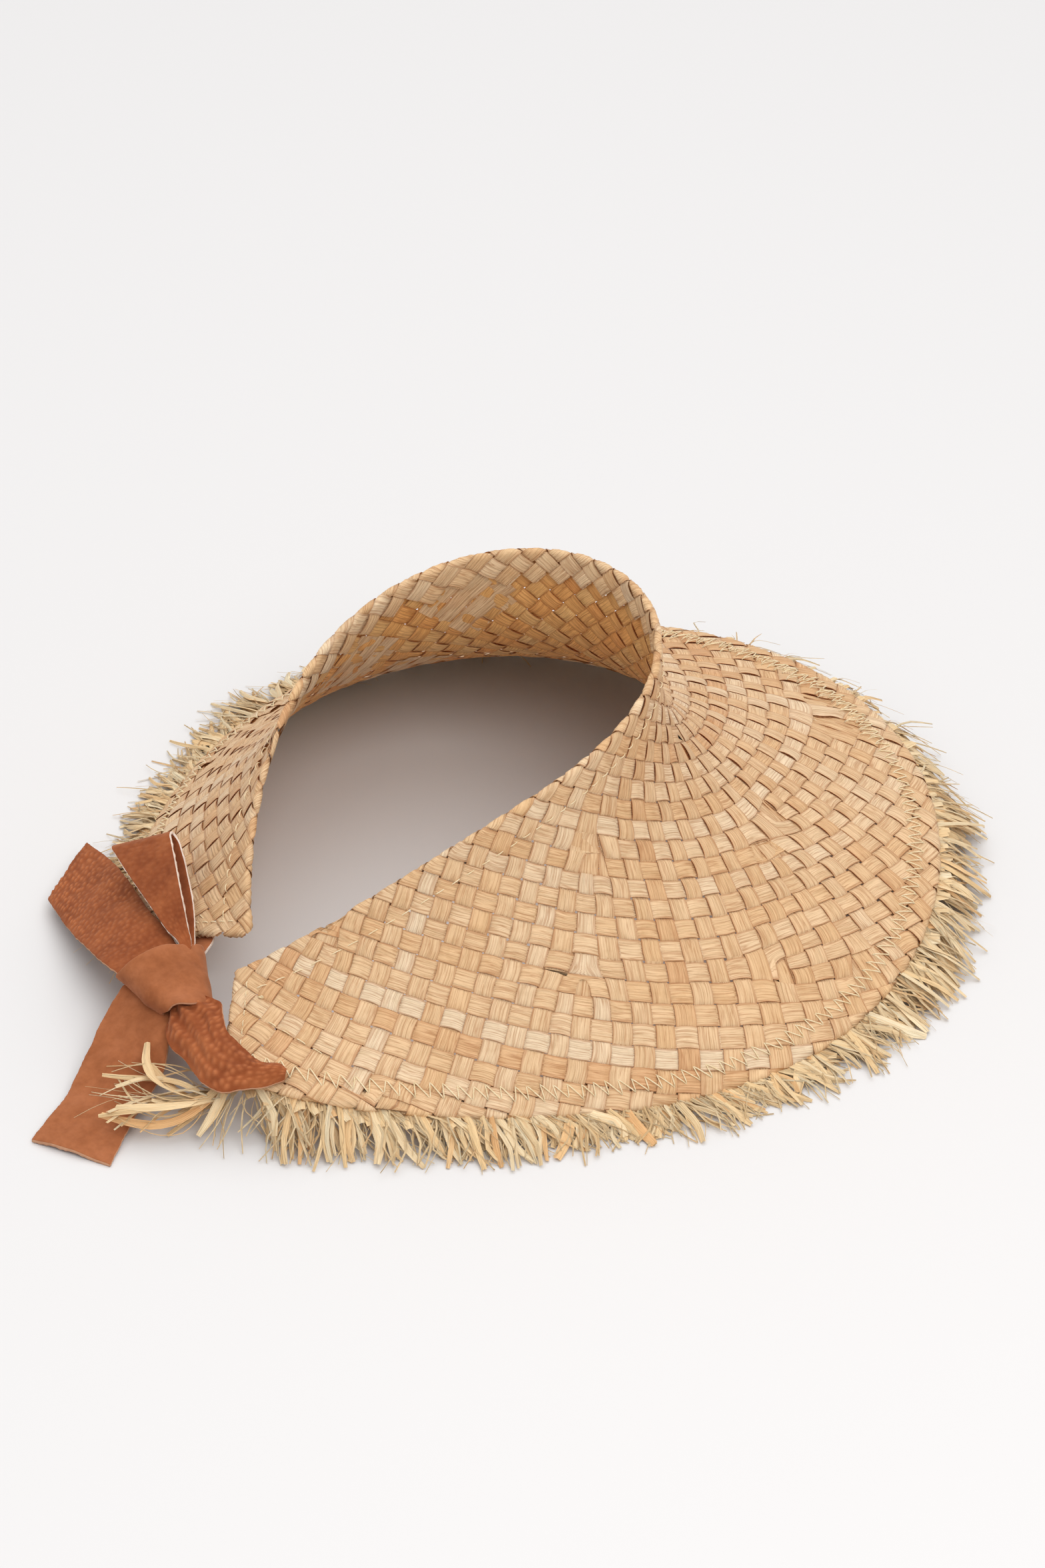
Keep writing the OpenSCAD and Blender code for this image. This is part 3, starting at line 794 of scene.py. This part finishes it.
def make_plaiting():
    s, t = np.meshgrid(np.linspace(-1, 1, COLUMNS + 1), np.linspace(0, 1, ROWS + 1), indexing="ij")
    grid = straw_frame(s, t)
    u, u_cores = strip_phase(grid, 1, 3)
    v, v_cores = strip_phase(grid, -1, 4)
    u, v = extended(u), extended(v)
    cells = find_cells(u, v)
    s, t, past_end, past_edge = to_surface(cells[0], cells[1])
    zones = {
        "crown_edge_fold": (past_edge > ROUND_EDGE) & (t < 0.5),
        "brim_edge_fold": (past_edge > ROUND_EDGE) & (t > 0.5),
        "near_end_fold": (past_end > ROUND_EDGE) & (s < 0),
        "far_end_fold": (past_end > ROUND_EDGE) & (s > 0),
    }
    folded = np.any(list(zones.values()), axis=0)
    families = [strip_patches(u, v, cells, True), strip_patches(u, v, cells, False)]
    for label, (points, uv, tone, good) in zip(("left_strips", "right_strips"), families):
        # Inner faces take the straw with the more orange painted glow.
        for face, look, ending in ((0, STRAW, ""), (1, INSIDE_PAINTED_GLOW, "_inside")):
            family = (points[face], uv, tone, good & ~folded)
            patch_piece("straw_" + label + ending, [family], look, "woven_body")
    patch_piece("straw_started_strips", [core_patches(u_cores + v_cores)], STRAW, "woven_body")
    for node, zone in zones.items():
        turned = [(points[0], uv, tone, good & zone) for points, uv, tone, good in families]
        patch_piece(node + "_strips", turned, FOLD, node)


# ---- threads ---------------------------------------------------------------------------------

def tube(points, radius, sides=6):
    """Points and quads of a thread along a line, narrow at its open ends."""
    p = np.asarray(points, float)
    along = unit(np.gradient(p, axis=0))
    start = np.array([0, 0, 1.0]) if abs(along[0][2]) < 0.9 else np.array([1.0, 0, 0])
    side = unit(np.cross(along, start))
    up = np.cross(side, along)
    turn = np.linspace(0, 2 * math.pi, sides, endpoint=False)
    thick = np.full(len(p), radius)
    thick[[0, -1]] *= 0.25
    rings = p[:, None] + thick[:, None, None] * (np.cos(turn)[None, :, None] * side[:, None]
                                                 + np.sin(turn)[None, :, None] * up[:, None])
    return rings.reshape(-1, 3), ring_faces(len(p), sides)


def joined(parts):
    """One list of points and faces from several."""
    points, faces, count = [], [], 0
    for p, f in parts:
        points.append(p)
        faces.append(f + count)
        count += len(p)
    return np.concatenate(points), np.concatenate(faces)


def crown_t(s, mm):
    """t at a distance below the crown edge."""
    return mm / np.linalg.norm(straw_frame(s, np.zeros_like(s) + 0.06)[2], axis=-1)


def brim_t(s, mm):
    """t at a distance above the brim edge."""
    return 1 - mm / np.linalg.norm(straw_frame(s, np.zeros_like(s) + 0.95)[2], axis=-1)


def end_s(side, t, mm):
    """s at a distance in from an end."""
    return side * (1 - mm / np.linalg.norm(straw_frame(np.full_like(t, side * 0.98), t)[1], axis=-1))


def over_straw(s, t, height):
    point, _, _, normal = straw_frame(s, t)
    return point + normal * np.asarray(height)[..., None]


THREAD_R, ZIGZAG_R, LOOSE_R = 0.22, 0.27, 0.2


def dashed_line(s, t, count, share, rise):
    """Running stitches along a line of s, t samples: each dives into the straw at both ends."""
    parts = []
    draw = np.random.default_rng(21)
    at = np.linspace(0, 1, len(s))
    dive = 0.5 * (np.abs(np.linspace(-1, 1, 9)) > 0.9)
    lift = rise * np.sqrt(np.maximum(np.sin(np.linspace(0, math.pi, 9)), 0)) - dive
    for k in range(count):
        middle = (k + 0.5) / count + draw.uniform(-0.08, 0.08) / count
        span = np.linspace(middle - share / 2 / count, middle + share / 2 / count, 9)
        drift = draw.uniform(-0.004, 0.004) * (span - middle) * count
        parts.append(tube(over_straw(np.interp(span, at, s), np.interp(span, at, t) + drift, lift), THREAD_R))
    return parts


def zigzag(at, high, steps, top, dip, radius):
    """A thread over the brim through corners at s and mm above the edge, which dips at each corner."""
    corners = np.arange(len(at))
    fine = np.linspace(0, len(at) - 1, (len(at) - 1) * steps + 1)
    s = np.interp(fine, corners, at)
    lift = top - dip * (np.abs(fine - np.round(fine)) < 0.05)
    return tube(over_straw(s, brim_t(s, np.interp(fine, corners, high)), lift), radius, 5)


def thread_piece(name, parts, nodes=()):
    points, faces = joined(parts)
    make_piece(name, to_row(points), faces, [THREAD], "hat", nodes)


def make_threads():
    s = np.linspace(-0.975, 0.975, 400)
    parts = dashed_line(s, crown_t(s, 11.0), 84, 0.62, 1.05)
    thread_piece("crown_running_thread", parts, ("crown_stitching",))

    draw = np.random.default_rng(22)
    corners = 350
    high = np.where(np.arange(corners) % 2 == 0, 13.4, 6.4) + draw.uniform(-0.7, 0.7, corners)
    at = np.linspace(-0.988, 0.988, corners) + draw.uniform(-0.0009, 0.0009, corners)
    rows = [zigzag(at, high, 5, 1.0, 0.85, ZIGZAG_R)]
    # A second, looser thread wanders over the first along the far part of the bill.
    corners = 150
    at = np.linspace(-0.10, 0.52, corners) + draw.uniform(-0.0022, 0.0022, corners)
    high = np.where(np.arange(corners) % 2 == 0, 17.0, 7.0) + draw.uniform(-3.0, 3.0, corners)
    rows.append(zigzag(at, high, 6, 1.5, 0.9, LOOSE_R))
    thread_piece("brim_zigzag_thread", rows, ("brim_zigzag_stitching",))

    for side, name in ((-1, "near"), (1, "far")):
        t = np.linspace(0.12, 0.9, 60)
        parts = dashed_line(end_s(side, t, 5.5), t, 9, 0.66, 1.05)
        thread_piece(name + "_end_running_thread", parts, (name + "_end_stitching",))
        s = side * np.linspace(0.915, 0.975, 40)
        parts = dashed_line(s, 0.72 - 5.0 * (np.abs(s) - 0.915), 5, 0.6, 1.0)
        thread_piece(name + "_tab_thread", parts, (name + "_tab_stitching",))

    # A small knot starts the crown thread, and another mends a strip near the bill.
    parts = []
    for s0, t0 in ((-0.965, 0.30), (0.30, 0.55)):
        for _ in range(3):
            turn = np.linspace(0, 2 * math.pi, 14)
            wobble = draw.uniform(0.7, 1.2, 2)
            s = s0 + 0.0028 * wobble[0] * np.cos(turn)
            t = t0 + 0.006 * wobble[1] * np.sin(turn + 0.5)
            parts.append(tube(over_straw(s, t, 1.1 + 0.5 * np.sin(turn * 2 + wobble[0] * 3)), 0.25))
    thread_piece("thread_knots", parts)


# ---- fringe ----------------------------------------------------------------------------------

BAND_STRIPS, CLUSTERS, BROAD_EACH, FINE_EACH, TUFT_STRANDS = 300, 150, 6, 15, 38
BROAD_WIDTHS, TUFT_WIDTHS = [1.6, 2.2, 3.0, 4.4], [0.5, 1.0, 2.2, 3.6]
TUFT_START, TUFT_LOWEST = [-43, 194, 12.5], 5.4


def flat_strand(path, width, facing, fold=0.12, segments=7):
    """A flat strand in mm: a ribbon with a shallow fold along its middle, tapering to its tip."""
    p = smooth_through(path, segments)
    along = unit(np.gradient(p, axis=0))
    side = unit(np.cross(along, unit(np.asarray(facing, float))))
    lift = np.cross(side, along)
    share = np.linspace(0, 1, segments)
    half = (width / 2 * np.clip(1.15 - 0.5 * share**3, 0.2, 1))[:, None]
    points = np.stack([p - side * half, p + lift * width * fold, p + side * half], 1).reshape(-1, 3)
    uv = np.stack([np.tile([0.0, 0.5, 1.0], segments), np.repeat(share * 28, 3)], -1)
    return points, grid_faces(segments, 3), uv


def strand_piece(name, strands, node):
    points, faces, uvs, tones, count = [], [], [], [], 0
    draw = np.random.default_rng(len(strands))
    for p, f, uv in strands:
        points.append(p)
        faces.append(f + count)
        uvs.append(uv + [0, draw.uniform(0, 500)])
        tones.append(np.full(len(p), np.clip(draw.normal(0.55, 0.24), 0, 1)))
        count += len(p)
    points = np.concatenate(points)
    points[:, 2] = np.maximum(points[:, 2], FLOOR_Z + 0.25)
    make_piece(name, to_row(points), np.concatenate(faces), [FRINGE], "hat", (node,),
               uv=np.concatenate(uvs), tone=np.concatenate(tones))


def brim_root(s, back, depth):
    """A point under the brim and its outward, sideways and normal directions."""
    t = 1 - back / np.linalg.norm(straw_frame(np.array(s), np.array(0.95))[2])
    point, ds, dt, normal = straw_frame(np.array(s), np.array(min(t, 1.0)))
    down = unit(dt)
    out = unit(down * [1, 1, 0.0])
    side = unit(ds - np.dot(ds, down) * down)
    return point - normal * depth, out, side, normal


def fringe_strand(draw, s, lean, length, width, depth, droop, spread):
    """One strand from under the brim, leaning sideways and drooping to the floor."""
    root, out, side, normal = brim_root(s, 3.0, depth)
    flat = unit(out + side * math.tan(lean))
    drop = min(droop, root[2] - FLOOR_Z - 0.5)
    path = []
    kink = draw.uniform(-1, 1, 3) * spread
    for share in (0, 0.33, 0.66, 1.0):
        level = root[2] - drop * (0.55 * share + 0.45 * share**2)
        spot = root + flat * length * share * (1 - 0.06 * share) + side * kink[int(share * 2)] * share**2
        spot[2] = max(level + kink[1] * 0.35 * share, FLOOR_Z + 0.4 + 0.6 * draw.random())
        path.append(spot)
    facing = unit(normal + side * draw.uniform(-0.7, 0.7) + out * draw.uniform(-0.3, 0.3))
    return flat_strand(path, width, facing, fold=draw.uniform(0.02, 0.2))


def make_band(draw):
    """Short broad strips, side by side: the band that the fringe hangs from."""
    band = []
    for k in range(BAND_STRIPS):
        s = np.clip(-0.997 + 1.994 * (k + draw.uniform(-0.2, 0.2)) / BAND_STRIPS, -0.999, 0.999)
        root, out, side, normal = brim_root(s, 15.0, 3.1)
        tip = brim_root(s, 0.0, 3.2)[0]
        lean = side * draw.uniform(-1.8, 1.8)
        tail = tip + out * draw.uniform(4, 9) + lean - np.array([0, 0, draw.uniform(0.5, 2.5)])
        path = [root, (root + tip) / 2 - normal * 0.2, tip, tail]
        band.append(flat_strand(path, draw.uniform(3.0, 4.4), normal, fold=0.08))
    strand_piece("fringe_band_strips", band, "fringe_band")


def make_strands(draw):
    """Broad and fine strands in clusters, each cluster with its own lean and length."""
    broad, fine = [], []
    for k in range(CLUSTERS):
        s_mid = -0.995 + 1.99 * (k + 0.5) / CLUSTERS
        lean_mid = draw.normal(0, 0.38)
        long_mid = draw.uniform(21, 30)
        for _ in range(BROAD_EACH):
            s = np.clip(s_mid + draw.uniform(-1, 1) * 0.9 / CLUSTERS, -0.998, 0.998)
            lean = lean_mid + draw.normal(0, 0.30)
            length = long_mid + draw.uniform(-8, 3)
            width = draw.choice(BROAD_WIDTHS, p=[0.35, 0.3, 0.25, 0.1])
            depth, droop = draw.uniform(1.6, 3.6), draw.uniform(11, 24)
            broad.append(fringe_strand(draw, s, lean, length, width, depth, droop, 3.5))
        for _ in range(FINE_EACH):
            s = np.clip(s_mid + draw.uniform(-1, 1) * 1.1 / CLUSTERS, -0.998, 0.998)
            lean = lean_mid + draw.normal(0, 0.55)
            length = long_mid + draw.uniform(-10, 4.5)
            width = draw.uniform(0.3, 1.0)
            depth, droop = draw.uniform(1.4, 3.8), draw.uniform(8, 24)
            fine.append(fringe_strand(draw, s, lean, length, width, depth, droop, 6.5))
    strand_piece("fringe_broad_strands", broad, "fringe_strands")
    strand_piece("fringe_fine_strands", fine, "fringe_strands")


def make_tuft(draw):
    """The fringe's loose end, which runs on past the near end and over the lower tail."""
    tuft = []
    for _ in range(TUFT_STRANDS):
        start = np.array(TUFT_START) + draw.uniform(-1, 1, 3) * [5, 5, 2]
        aim = math.radians(draw.uniform(6, 66))
        long = draw.uniform(26, 50)
        way = np.array([math.cos(aim), math.sin(aim), 0])
        across = np.array([-way[1], way[0], 0])
        rise = draw.uniform(-6, 4)
        curl = draw.normal(0, 7)
        hook = draw.normal(0, 8) * (draw.random() < 0.5)
        path = []
        for share in np.linspace(0, 1, 6):
            spot = start + way * long * share + across * (curl * math.sin(share * 3.4) + hook * share**4)
            spot = spot + np.array([0, 0, rise * share + 2.2 * math.sin(share * 4.2 + curl)])
            path.append(np.array([spot[0], spot[1], max(spot[2], TUFT_LOWEST)]))
        wide = draw.choice(TUFT_WIDTHS, p=[0.35, 0.3, 0.2, 0.15])
        facing = [draw.uniform(-0.9, 0.9), draw.uniform(-0.9, 0.9), 1]
        tuft.append(flat_strand(path, wide, facing, fold=draw.uniform(0.05, 0.25), segments=14))
    strand_piece("fringe_tuft_strands", tuft, "fringe_tuft")


def make_fringe():
    draw = np.random.default_rng(31)
    make_band(draw)
    make_strands(draw)
    make_tuft(draw)


# ---- suede tie -------------------------------------------------------------------------------

SUEDE_T = 1.35
DOT_PITCH, DOT_RADIUS, DOT_HEIGHT = 2.9, 1.0, 0.7
CELL = 0.55                       # size in mm of a strap's mesh cells


def noise3(points, scale, seed, octaves=3):
    """Soft repeatable noise from sums of sines, about -1 to 1."""
    draw = np.random.default_rng(seed)
    total = np.zeros(points.shape[:-1])
    for octave in range(octaves):
        for _ in range(4):
            way = unit(draw.normal(size=3)) * (2 * math.pi / scale) * 1.9**octave
            total += np.sin(points @ way + draw.uniform(0, 7)) / 1.9**octave / 3.2
    return total


def raised_dots(u, v, seed):
    """Heights from 0 to 1 of the pigskin's raised dots at places u, v in mm."""
    table = np.random.default_rng(seed).uniform(-1, 1, (64, 64, 3))
    iu, iv = np.floor(u / DOT_PITCH).astype(int), np.floor(v / DOT_PITCH).astype(int)
    height = np.zeros(u.shape)
    for du in (-1, 0, 1):
        for dv in (-1, 0, 1):
            pick = table[(iu + du) % 64, (iv + dv) % 64]
            off_u = u - (iu + du + 0.5 + 0.34 * pick[..., 0]) * DOT_PITCH
            off_v = v - (iv + dv + 0.5 + 0.34 * pick[..., 1]) * DOT_PITCH
            size = np.clip(0.85 + 0.3 * pick[..., 2], 0, 1)
            height = np.maximum(height, size * np.exp(-(off_u**2 + off_v**2) / DOT_RADIUS**2))
    return height


def cloth_faces(n, w):
    """Faces of a closed sheet of n by w points and its copy below, and the kind of each: top, below, edge."""
    upper = grid_faces(n, w)
    lower = upper[:, ::-1] + n * w
    k = np.arange(n * w).reshape(n, w)
    rim = np.concatenate([k[:, 0], k[-1, 1:], k[-2::-1, -1], k[0, -2:0:-1]])
    after = np.roll(rim, -1)
    edge = np.stack([rim, after, after + n * w, rim + n * w], -1)
    kind = np.repeat([0, 1, 2], [len(upper), len(lower), len(edge)])
    return np.concatenate([upper, lower, edge]), kind


def suede_strap(name, left, right, body, held, rests_on, rough_up=False, bulge=0.0, wave=0.5, seed=1,
                edge=TAN_EDGE, gather=0.0, flattened=0.0, dotted=1.0):
    """A strap between two edge lines in mm: left and right are points along it, seen from its upper side.

    bulge crowns it across, wave bends it softly and gather pleats it at its start. flattened is how much
    weaker its raised dots are at its start, and dotted how strong they are on the whole.
    """
    coarse = [smooth_through(line, 100) for line in (left, right)]
    width = np.linalg.norm(coarse[1] - coarse[0], axis=1)
    length = np.linalg.norm(np.diff((coarse[0] + coarse[1]) / 2, axis=0), axis=1)
    n, w = int(length.sum() / CELL), int(width.max() / CELL)
    a, b = smooth_through(left, n), smooth_through(right, n)
    across = np.concatenate([[0, 0.010, 0.028], np.linspace(0.055, 0.945, w - 6), [0.972, 0.990, 1]])
    middle = a[:, None] * (1 - across[None, :, None]) + b[:, None] * across[None, :, None]
    along = np.gradient(middle, axis=0)
    side = np.broadcast_to(b[:, None] - a[:, None], along.shape)
    normal = unit(np.cross(side, along))
    middle = middle + normal * (bulge * np.sin(math.pi * across)[None, :, None])
    middle = middle + normal * (wave * noise3(middle, 38.0, seed))[..., None]
    pleat = np.sin(across * math.pi * 7 + seed)[None, :] * np.linspace(1, 0.12, n)[:, None] ** 1.5
    middle = middle + normal * (gather * pleat)[..., None]
    ragged = noise3(middle, 5.0, seed + 5)[:, [0, -1]] * 0.22
    outward = unit(side)
    middle[:, 0] -= outward[:, 0] * ragged[:, :1]
    middle[:, -1] += outward[:, -1] * ragged[:, 1:]
    to_edge = np.minimum(across, 1 - across)
    thick = (SUEDE_T / 2 * np.clip(0.68 + 0.32 * to_edge / 0.028, 0.68, 1))[None, :, None]
    u = (across - 0.5)[None, :] * width.mean()
    v = np.linspace(0, length.sum(), n)[:, None]
    dots = raised_dots(u + 0 * v, v + 0 * u, seed)
    dots *= np.clip(noise3(middle, 30.0, seed + 3) * 0.35 + 0.9, 0.35, 1)
    dots *= 1 - flattened * np.clip(1.3 - v / length.sum() * 1.9, 0, 1)
    dots *= dotted * np.clip(to_edge / 0.05, 0, 1)[None, :]
    grain = 0.06 * noise3(middle, 2.2, seed + 9, 2)[..., None]
    lift = DOT_HEIGHT * dots[..., None]
    top = middle + normal * (thick + grain + (lift if rough_up else 0))
    low = middle - normal * (thick - grain + (0 if rough_up else lift))
    points = np.concatenate([top.reshape(-1, 3), low.reshape(-1, 3)])
    points[:, 2] = np.maximum(points[:, 2], FLOOR_Z + 0.15)
    tone = np.concatenate([dots.ravel() * rough_up, dots.ravel() * (not rough_up)])
    faces, kind = cloth_faces(n, w)
    looks = (ROUGH_SUEDE, SUEDE) if rough_up else (SUEDE, ROUGH_SUEDE)
    if held == "folded":
        looks = (ROUGH_SUEDE, ROUGH_SUEDE)
    if edge is PALE_EDGE:
        # The white core of the hide shows as a line along each cut edge.
        cells = kind[:2 * (n - 1) * (w - 1)].reshape(2, n - 1, w - 1)
        cells[:, :, [0, -1]] = 2
    piece = make_piece(name + "_suede", to_row(points), faces, [*looks, edge], body, (name,),
                       tone=tone, face_material=kind)


# Each strap's two edges, from the knot on. The bow loop's go out along its upper layer and back below.
UPPER_TAIL = (
    [(15, 179, 27), (25, 184.5, 27.5), (31, 184.5, 27), (58.5, 178.5, 20.5), (85, 170, 12.5),
     (112, 159.5, 5.5)],
    [(8, 165.5, 28), (18, 161, 30.5), (30, 157, 30.5), (52, 151, 28.2), (84, 139, 21.5), (108, 130, 14),
     (131.5, 125, 7.5)])
LOWER_TAIL = (
    [(0, 179.5, 23), (-3, 182, 22.5), (-8.5, 188.5, 18), (-13.5, 195, 10.5), (-20.5, 212.5, 4.2),
     (-37.5, 240, 1.3)],
    [(21, 179.5, 21.5), (28, 182.5, 21.5), (27, 188, 18.5), (14, 213.5, 8.5), (5, 229.5, 3.8),
     (-5.5, 254, 1.3)])
BOW_LOOP = (
    [(16.5, 164.5, 33.3), (19, 161.6, 34.6), (31, 159, 35.5), (48, 154.5, 36.2), (68.5, 149, 36.5),
     (84.5, 144, 36.2), (89.5, 142.2, 35.6), (91.6, 139.8, 34.0), (88.9, 139.2, 31.8), (83.8, 140, 30.6),
     (67.6, 144, 30.1), (47, 150, 30.4), (30.5, 156, 31.5), (19.5, 159.7, 31.9), (16.2, 163.2, 31.2)],
    [(13.6, 161.2, 32.8), (16.5, 157.6, 34.4), (24.6, 153, 38.5), (35.5, 147, 43), (48.5, 139.5, 46.8),
     (61.7, 131.8, 49), (66, 129.2, 49), (68.3, 126.4, 47.4), (65.3, 125.9, 45), (61, 127.6, 43.4),
     (47.5, 134.8, 40.4), (34.6, 142.3, 37), (24, 150, 34.3), (16.5, 156.3, 31.9), (13.2, 160.2, 30.9)])
NEAR_STRAP = (
    [(3, 171, 29), (-8, 169.8, 30.5), (-17, 168.8, 30.6), (-22, 171.8, 30.4), (-29, 176, 29.8),
     (-42, 177.4, 28), (-51.5, 176.2, 26.4), (-57, 171, 25.6), (-59.8, 170.8, 24.6)],
    [(4, 179, 25), (-2, 184, 24), (-7, 189, 22.5), (-12, 192, 21.5), (-25.5, 194, 21.5), (-42, 197.5, 21.8),
     (-51, 196, 22), (-56, 188.5, 22.6), (-61, 180, 22.6), (-62.6, 174, 23.0)])
FAR_STRAP = (
    [(21, 160, 23), (25, 153.5, 24.2), (31, 147.8, 23.6), (40, 143, 21.8)],
    [(13, 160, 24), (17, 151, 26.8), (21.5, 143, 27), (30, 136.4, 26.2)])


def make_tie():
    suede_strap("upper_tail", *UPPER_TAIL, "upper_tail", "laid", ["knot_wrap", "fringe_strands"],
                rough_up=True, bulge=0.6, wave=0.6, seed=3, flattened=0.75)
    suede_strap("lower_tail", *LOWER_TAIL, "lower_tail", "laid", ["knot_wrap"], bulge=0.9, wave=0.6, seed=5)
    suede_strap("bow_loop", *BOW_LOOP, "bow_loop", "folded", ["knot_wrap"], rough_up=True, wave=0.22, seed=7,
                edge=PALE_EDGE, dotted=0.3)
    suede_strap("near_strap", *NEAR_STRAP, "hat", "stretched", ["knot_wrap", "woven_body"], rough_up=True,
                bulge=2.8, wave=0.8, seed=9, gather=1.3)
    suede_strap("far_strap", *FAR_STRAP, "hat", "stretched", ["knot_wrap", "woven_body"], bulge=0.8, wave=0.4,
                seed=11, edge=PALE_EDGE)


# The knot at the end where the tails leave it and at the end where the near strap comes in.
KNOT_MIDDLE = np.array([[24.2, 168.0, 27.0], [-5.5, 177.0, 24.5]])
KNOT_WIDE = np.array([[-5.1, -17.3, 0.0], [-5.5, -7.8, 0.0]])
KNOT_TALL = np.array([[-3.4, 3.0, 10.0], [-3.8, 3.3, 7.2]])


def knot_surface(turn, share, scale):
    """Points round the knot: turn in radians as a column, share from one end to the other as a row."""
    share = share[..., None]
    parts = [ends[0] + (ends[1] - ends[0]) * share for ends in (KNOT_MIDDLE, KNOT_WIDE, KNOT_TALL)]
    return parts[0] + scale * (parts[1] * np.cos(turn)[..., None] + parts[2] * np.sin(turn)[..., None])


def make_knot_wrap():
    """A turn of strap wound over the tie, which narrows towards the near end."""
    n, w = 150, 42
    start, stop = math.radians(-80), math.radians(272)
    turn = np.linspace(start, stop, n)[:, None] + np.zeros((1, w))
    across = np.concatenate([[0, 0.012, 0.035], np.linspace(0.07, 0.93, w - 6), [0.965, 0.988, 1]])
    # The edges sway: the upper one dips at the back, and the lower one is pulled out of line on its left.
    upper_edge = -0.03 + 0.05 * np.cos(turn - 2.6) + 0.02 * np.sin(3 * turn)
    lower_edge = 1.0 + 0.03 * np.cos(turn * 2 + 0.4) + 0.02 * np.sin(5 * turn + 1)
    share = upper_edge + (lower_edge - upper_edge) * across
    spiral = 1.0 + 0.07 * (turn - start) / (stop - start)
    point = knot_surface(turn, share, spiral[..., None])
    round_way, down_way = np.gradient(point, axis=0), np.gradient(point, axis=1)
    normal = unit(np.cross(down_way, round_way))
    outside = np.sum(normal * (point - knot_surface(turn, share, 0.0)), -1).mean()
    normal = normal * np.sign(outside)
    crease = 0.8 * np.sin(6.0 * share + 2.5 * np.cos(turn)) * np.exp(-((turn - 3.0) / 0.7) ** 2)
    fold = np.exp(-((share - 0.55 - 0.25 * np.sin(turn)) / 0.09) ** 2) * np.exp(-((turn - 1.3) / 0.5) ** 2)
    point = point + normal * (0.6 * noise3(point, 26.0, 15) + crease - 0.45 * fold)[..., None]
    half = (SUEDE_T / 2 * np.clip(0.7 + 0.3 * np.minimum(across, 1 - across) / 0.035, 0.7, 1))[None, :, None]
    points = np.concatenate([(point + normal * half).reshape(-1, 3), (point - normal * half).reshape(-1, 3)])
    faces, kind = cloth_faces(n, w)
    if outside > 0:
        faces = faces[:, ::-1]
    piece = make_piece("knot_wrap_suede", to_row(points), faces, [SUEDE, ROUGH_SUEDE, TAN_EDGE], "hat",
                       ("knot_wrap",), face_material=kind)


def make_knot_core():
    """Inside the turn the strap is bunched: a filled, pleated bundle."""
    n, w = 44, 60
    share = np.linspace(0.02, 0.98, n)[:, None]
    turn = np.linspace(0, 2 * math.pi, w, endpoint=False)[None, :]
    swell = np.sqrt(np.clip(1 - np.abs(2 * share - 1) ** 5.0, 0, 1))
    pleat = 1 + 0.07 * np.sin(turn * 6 + 5 * share) + 0.04 * np.sin(turn * 11 - 4 * share)
    core = knot_surface(turn + 0 * share, share + 0 * turn, (0.80 * swell * pleat)[..., None])
    faces = ring_faces(n, w)[:, [0, 3, 2, 1]]
    make_piece("knot_core_suede", to_row(core.reshape(-1, 3)), faces, [ROUGH_SUEDE], "hat",
               ("knot_core",))


make_plaiting()
make_threads()
make_fringe()
make_tie()
make_knot_wrap()
make_knot_core()
for side in ("near", "far"):
    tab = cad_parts[side + "_strap_tab"]
    tab.data.materials.clear()
    tab.data.materials.append(ROUGH_SUEDE)
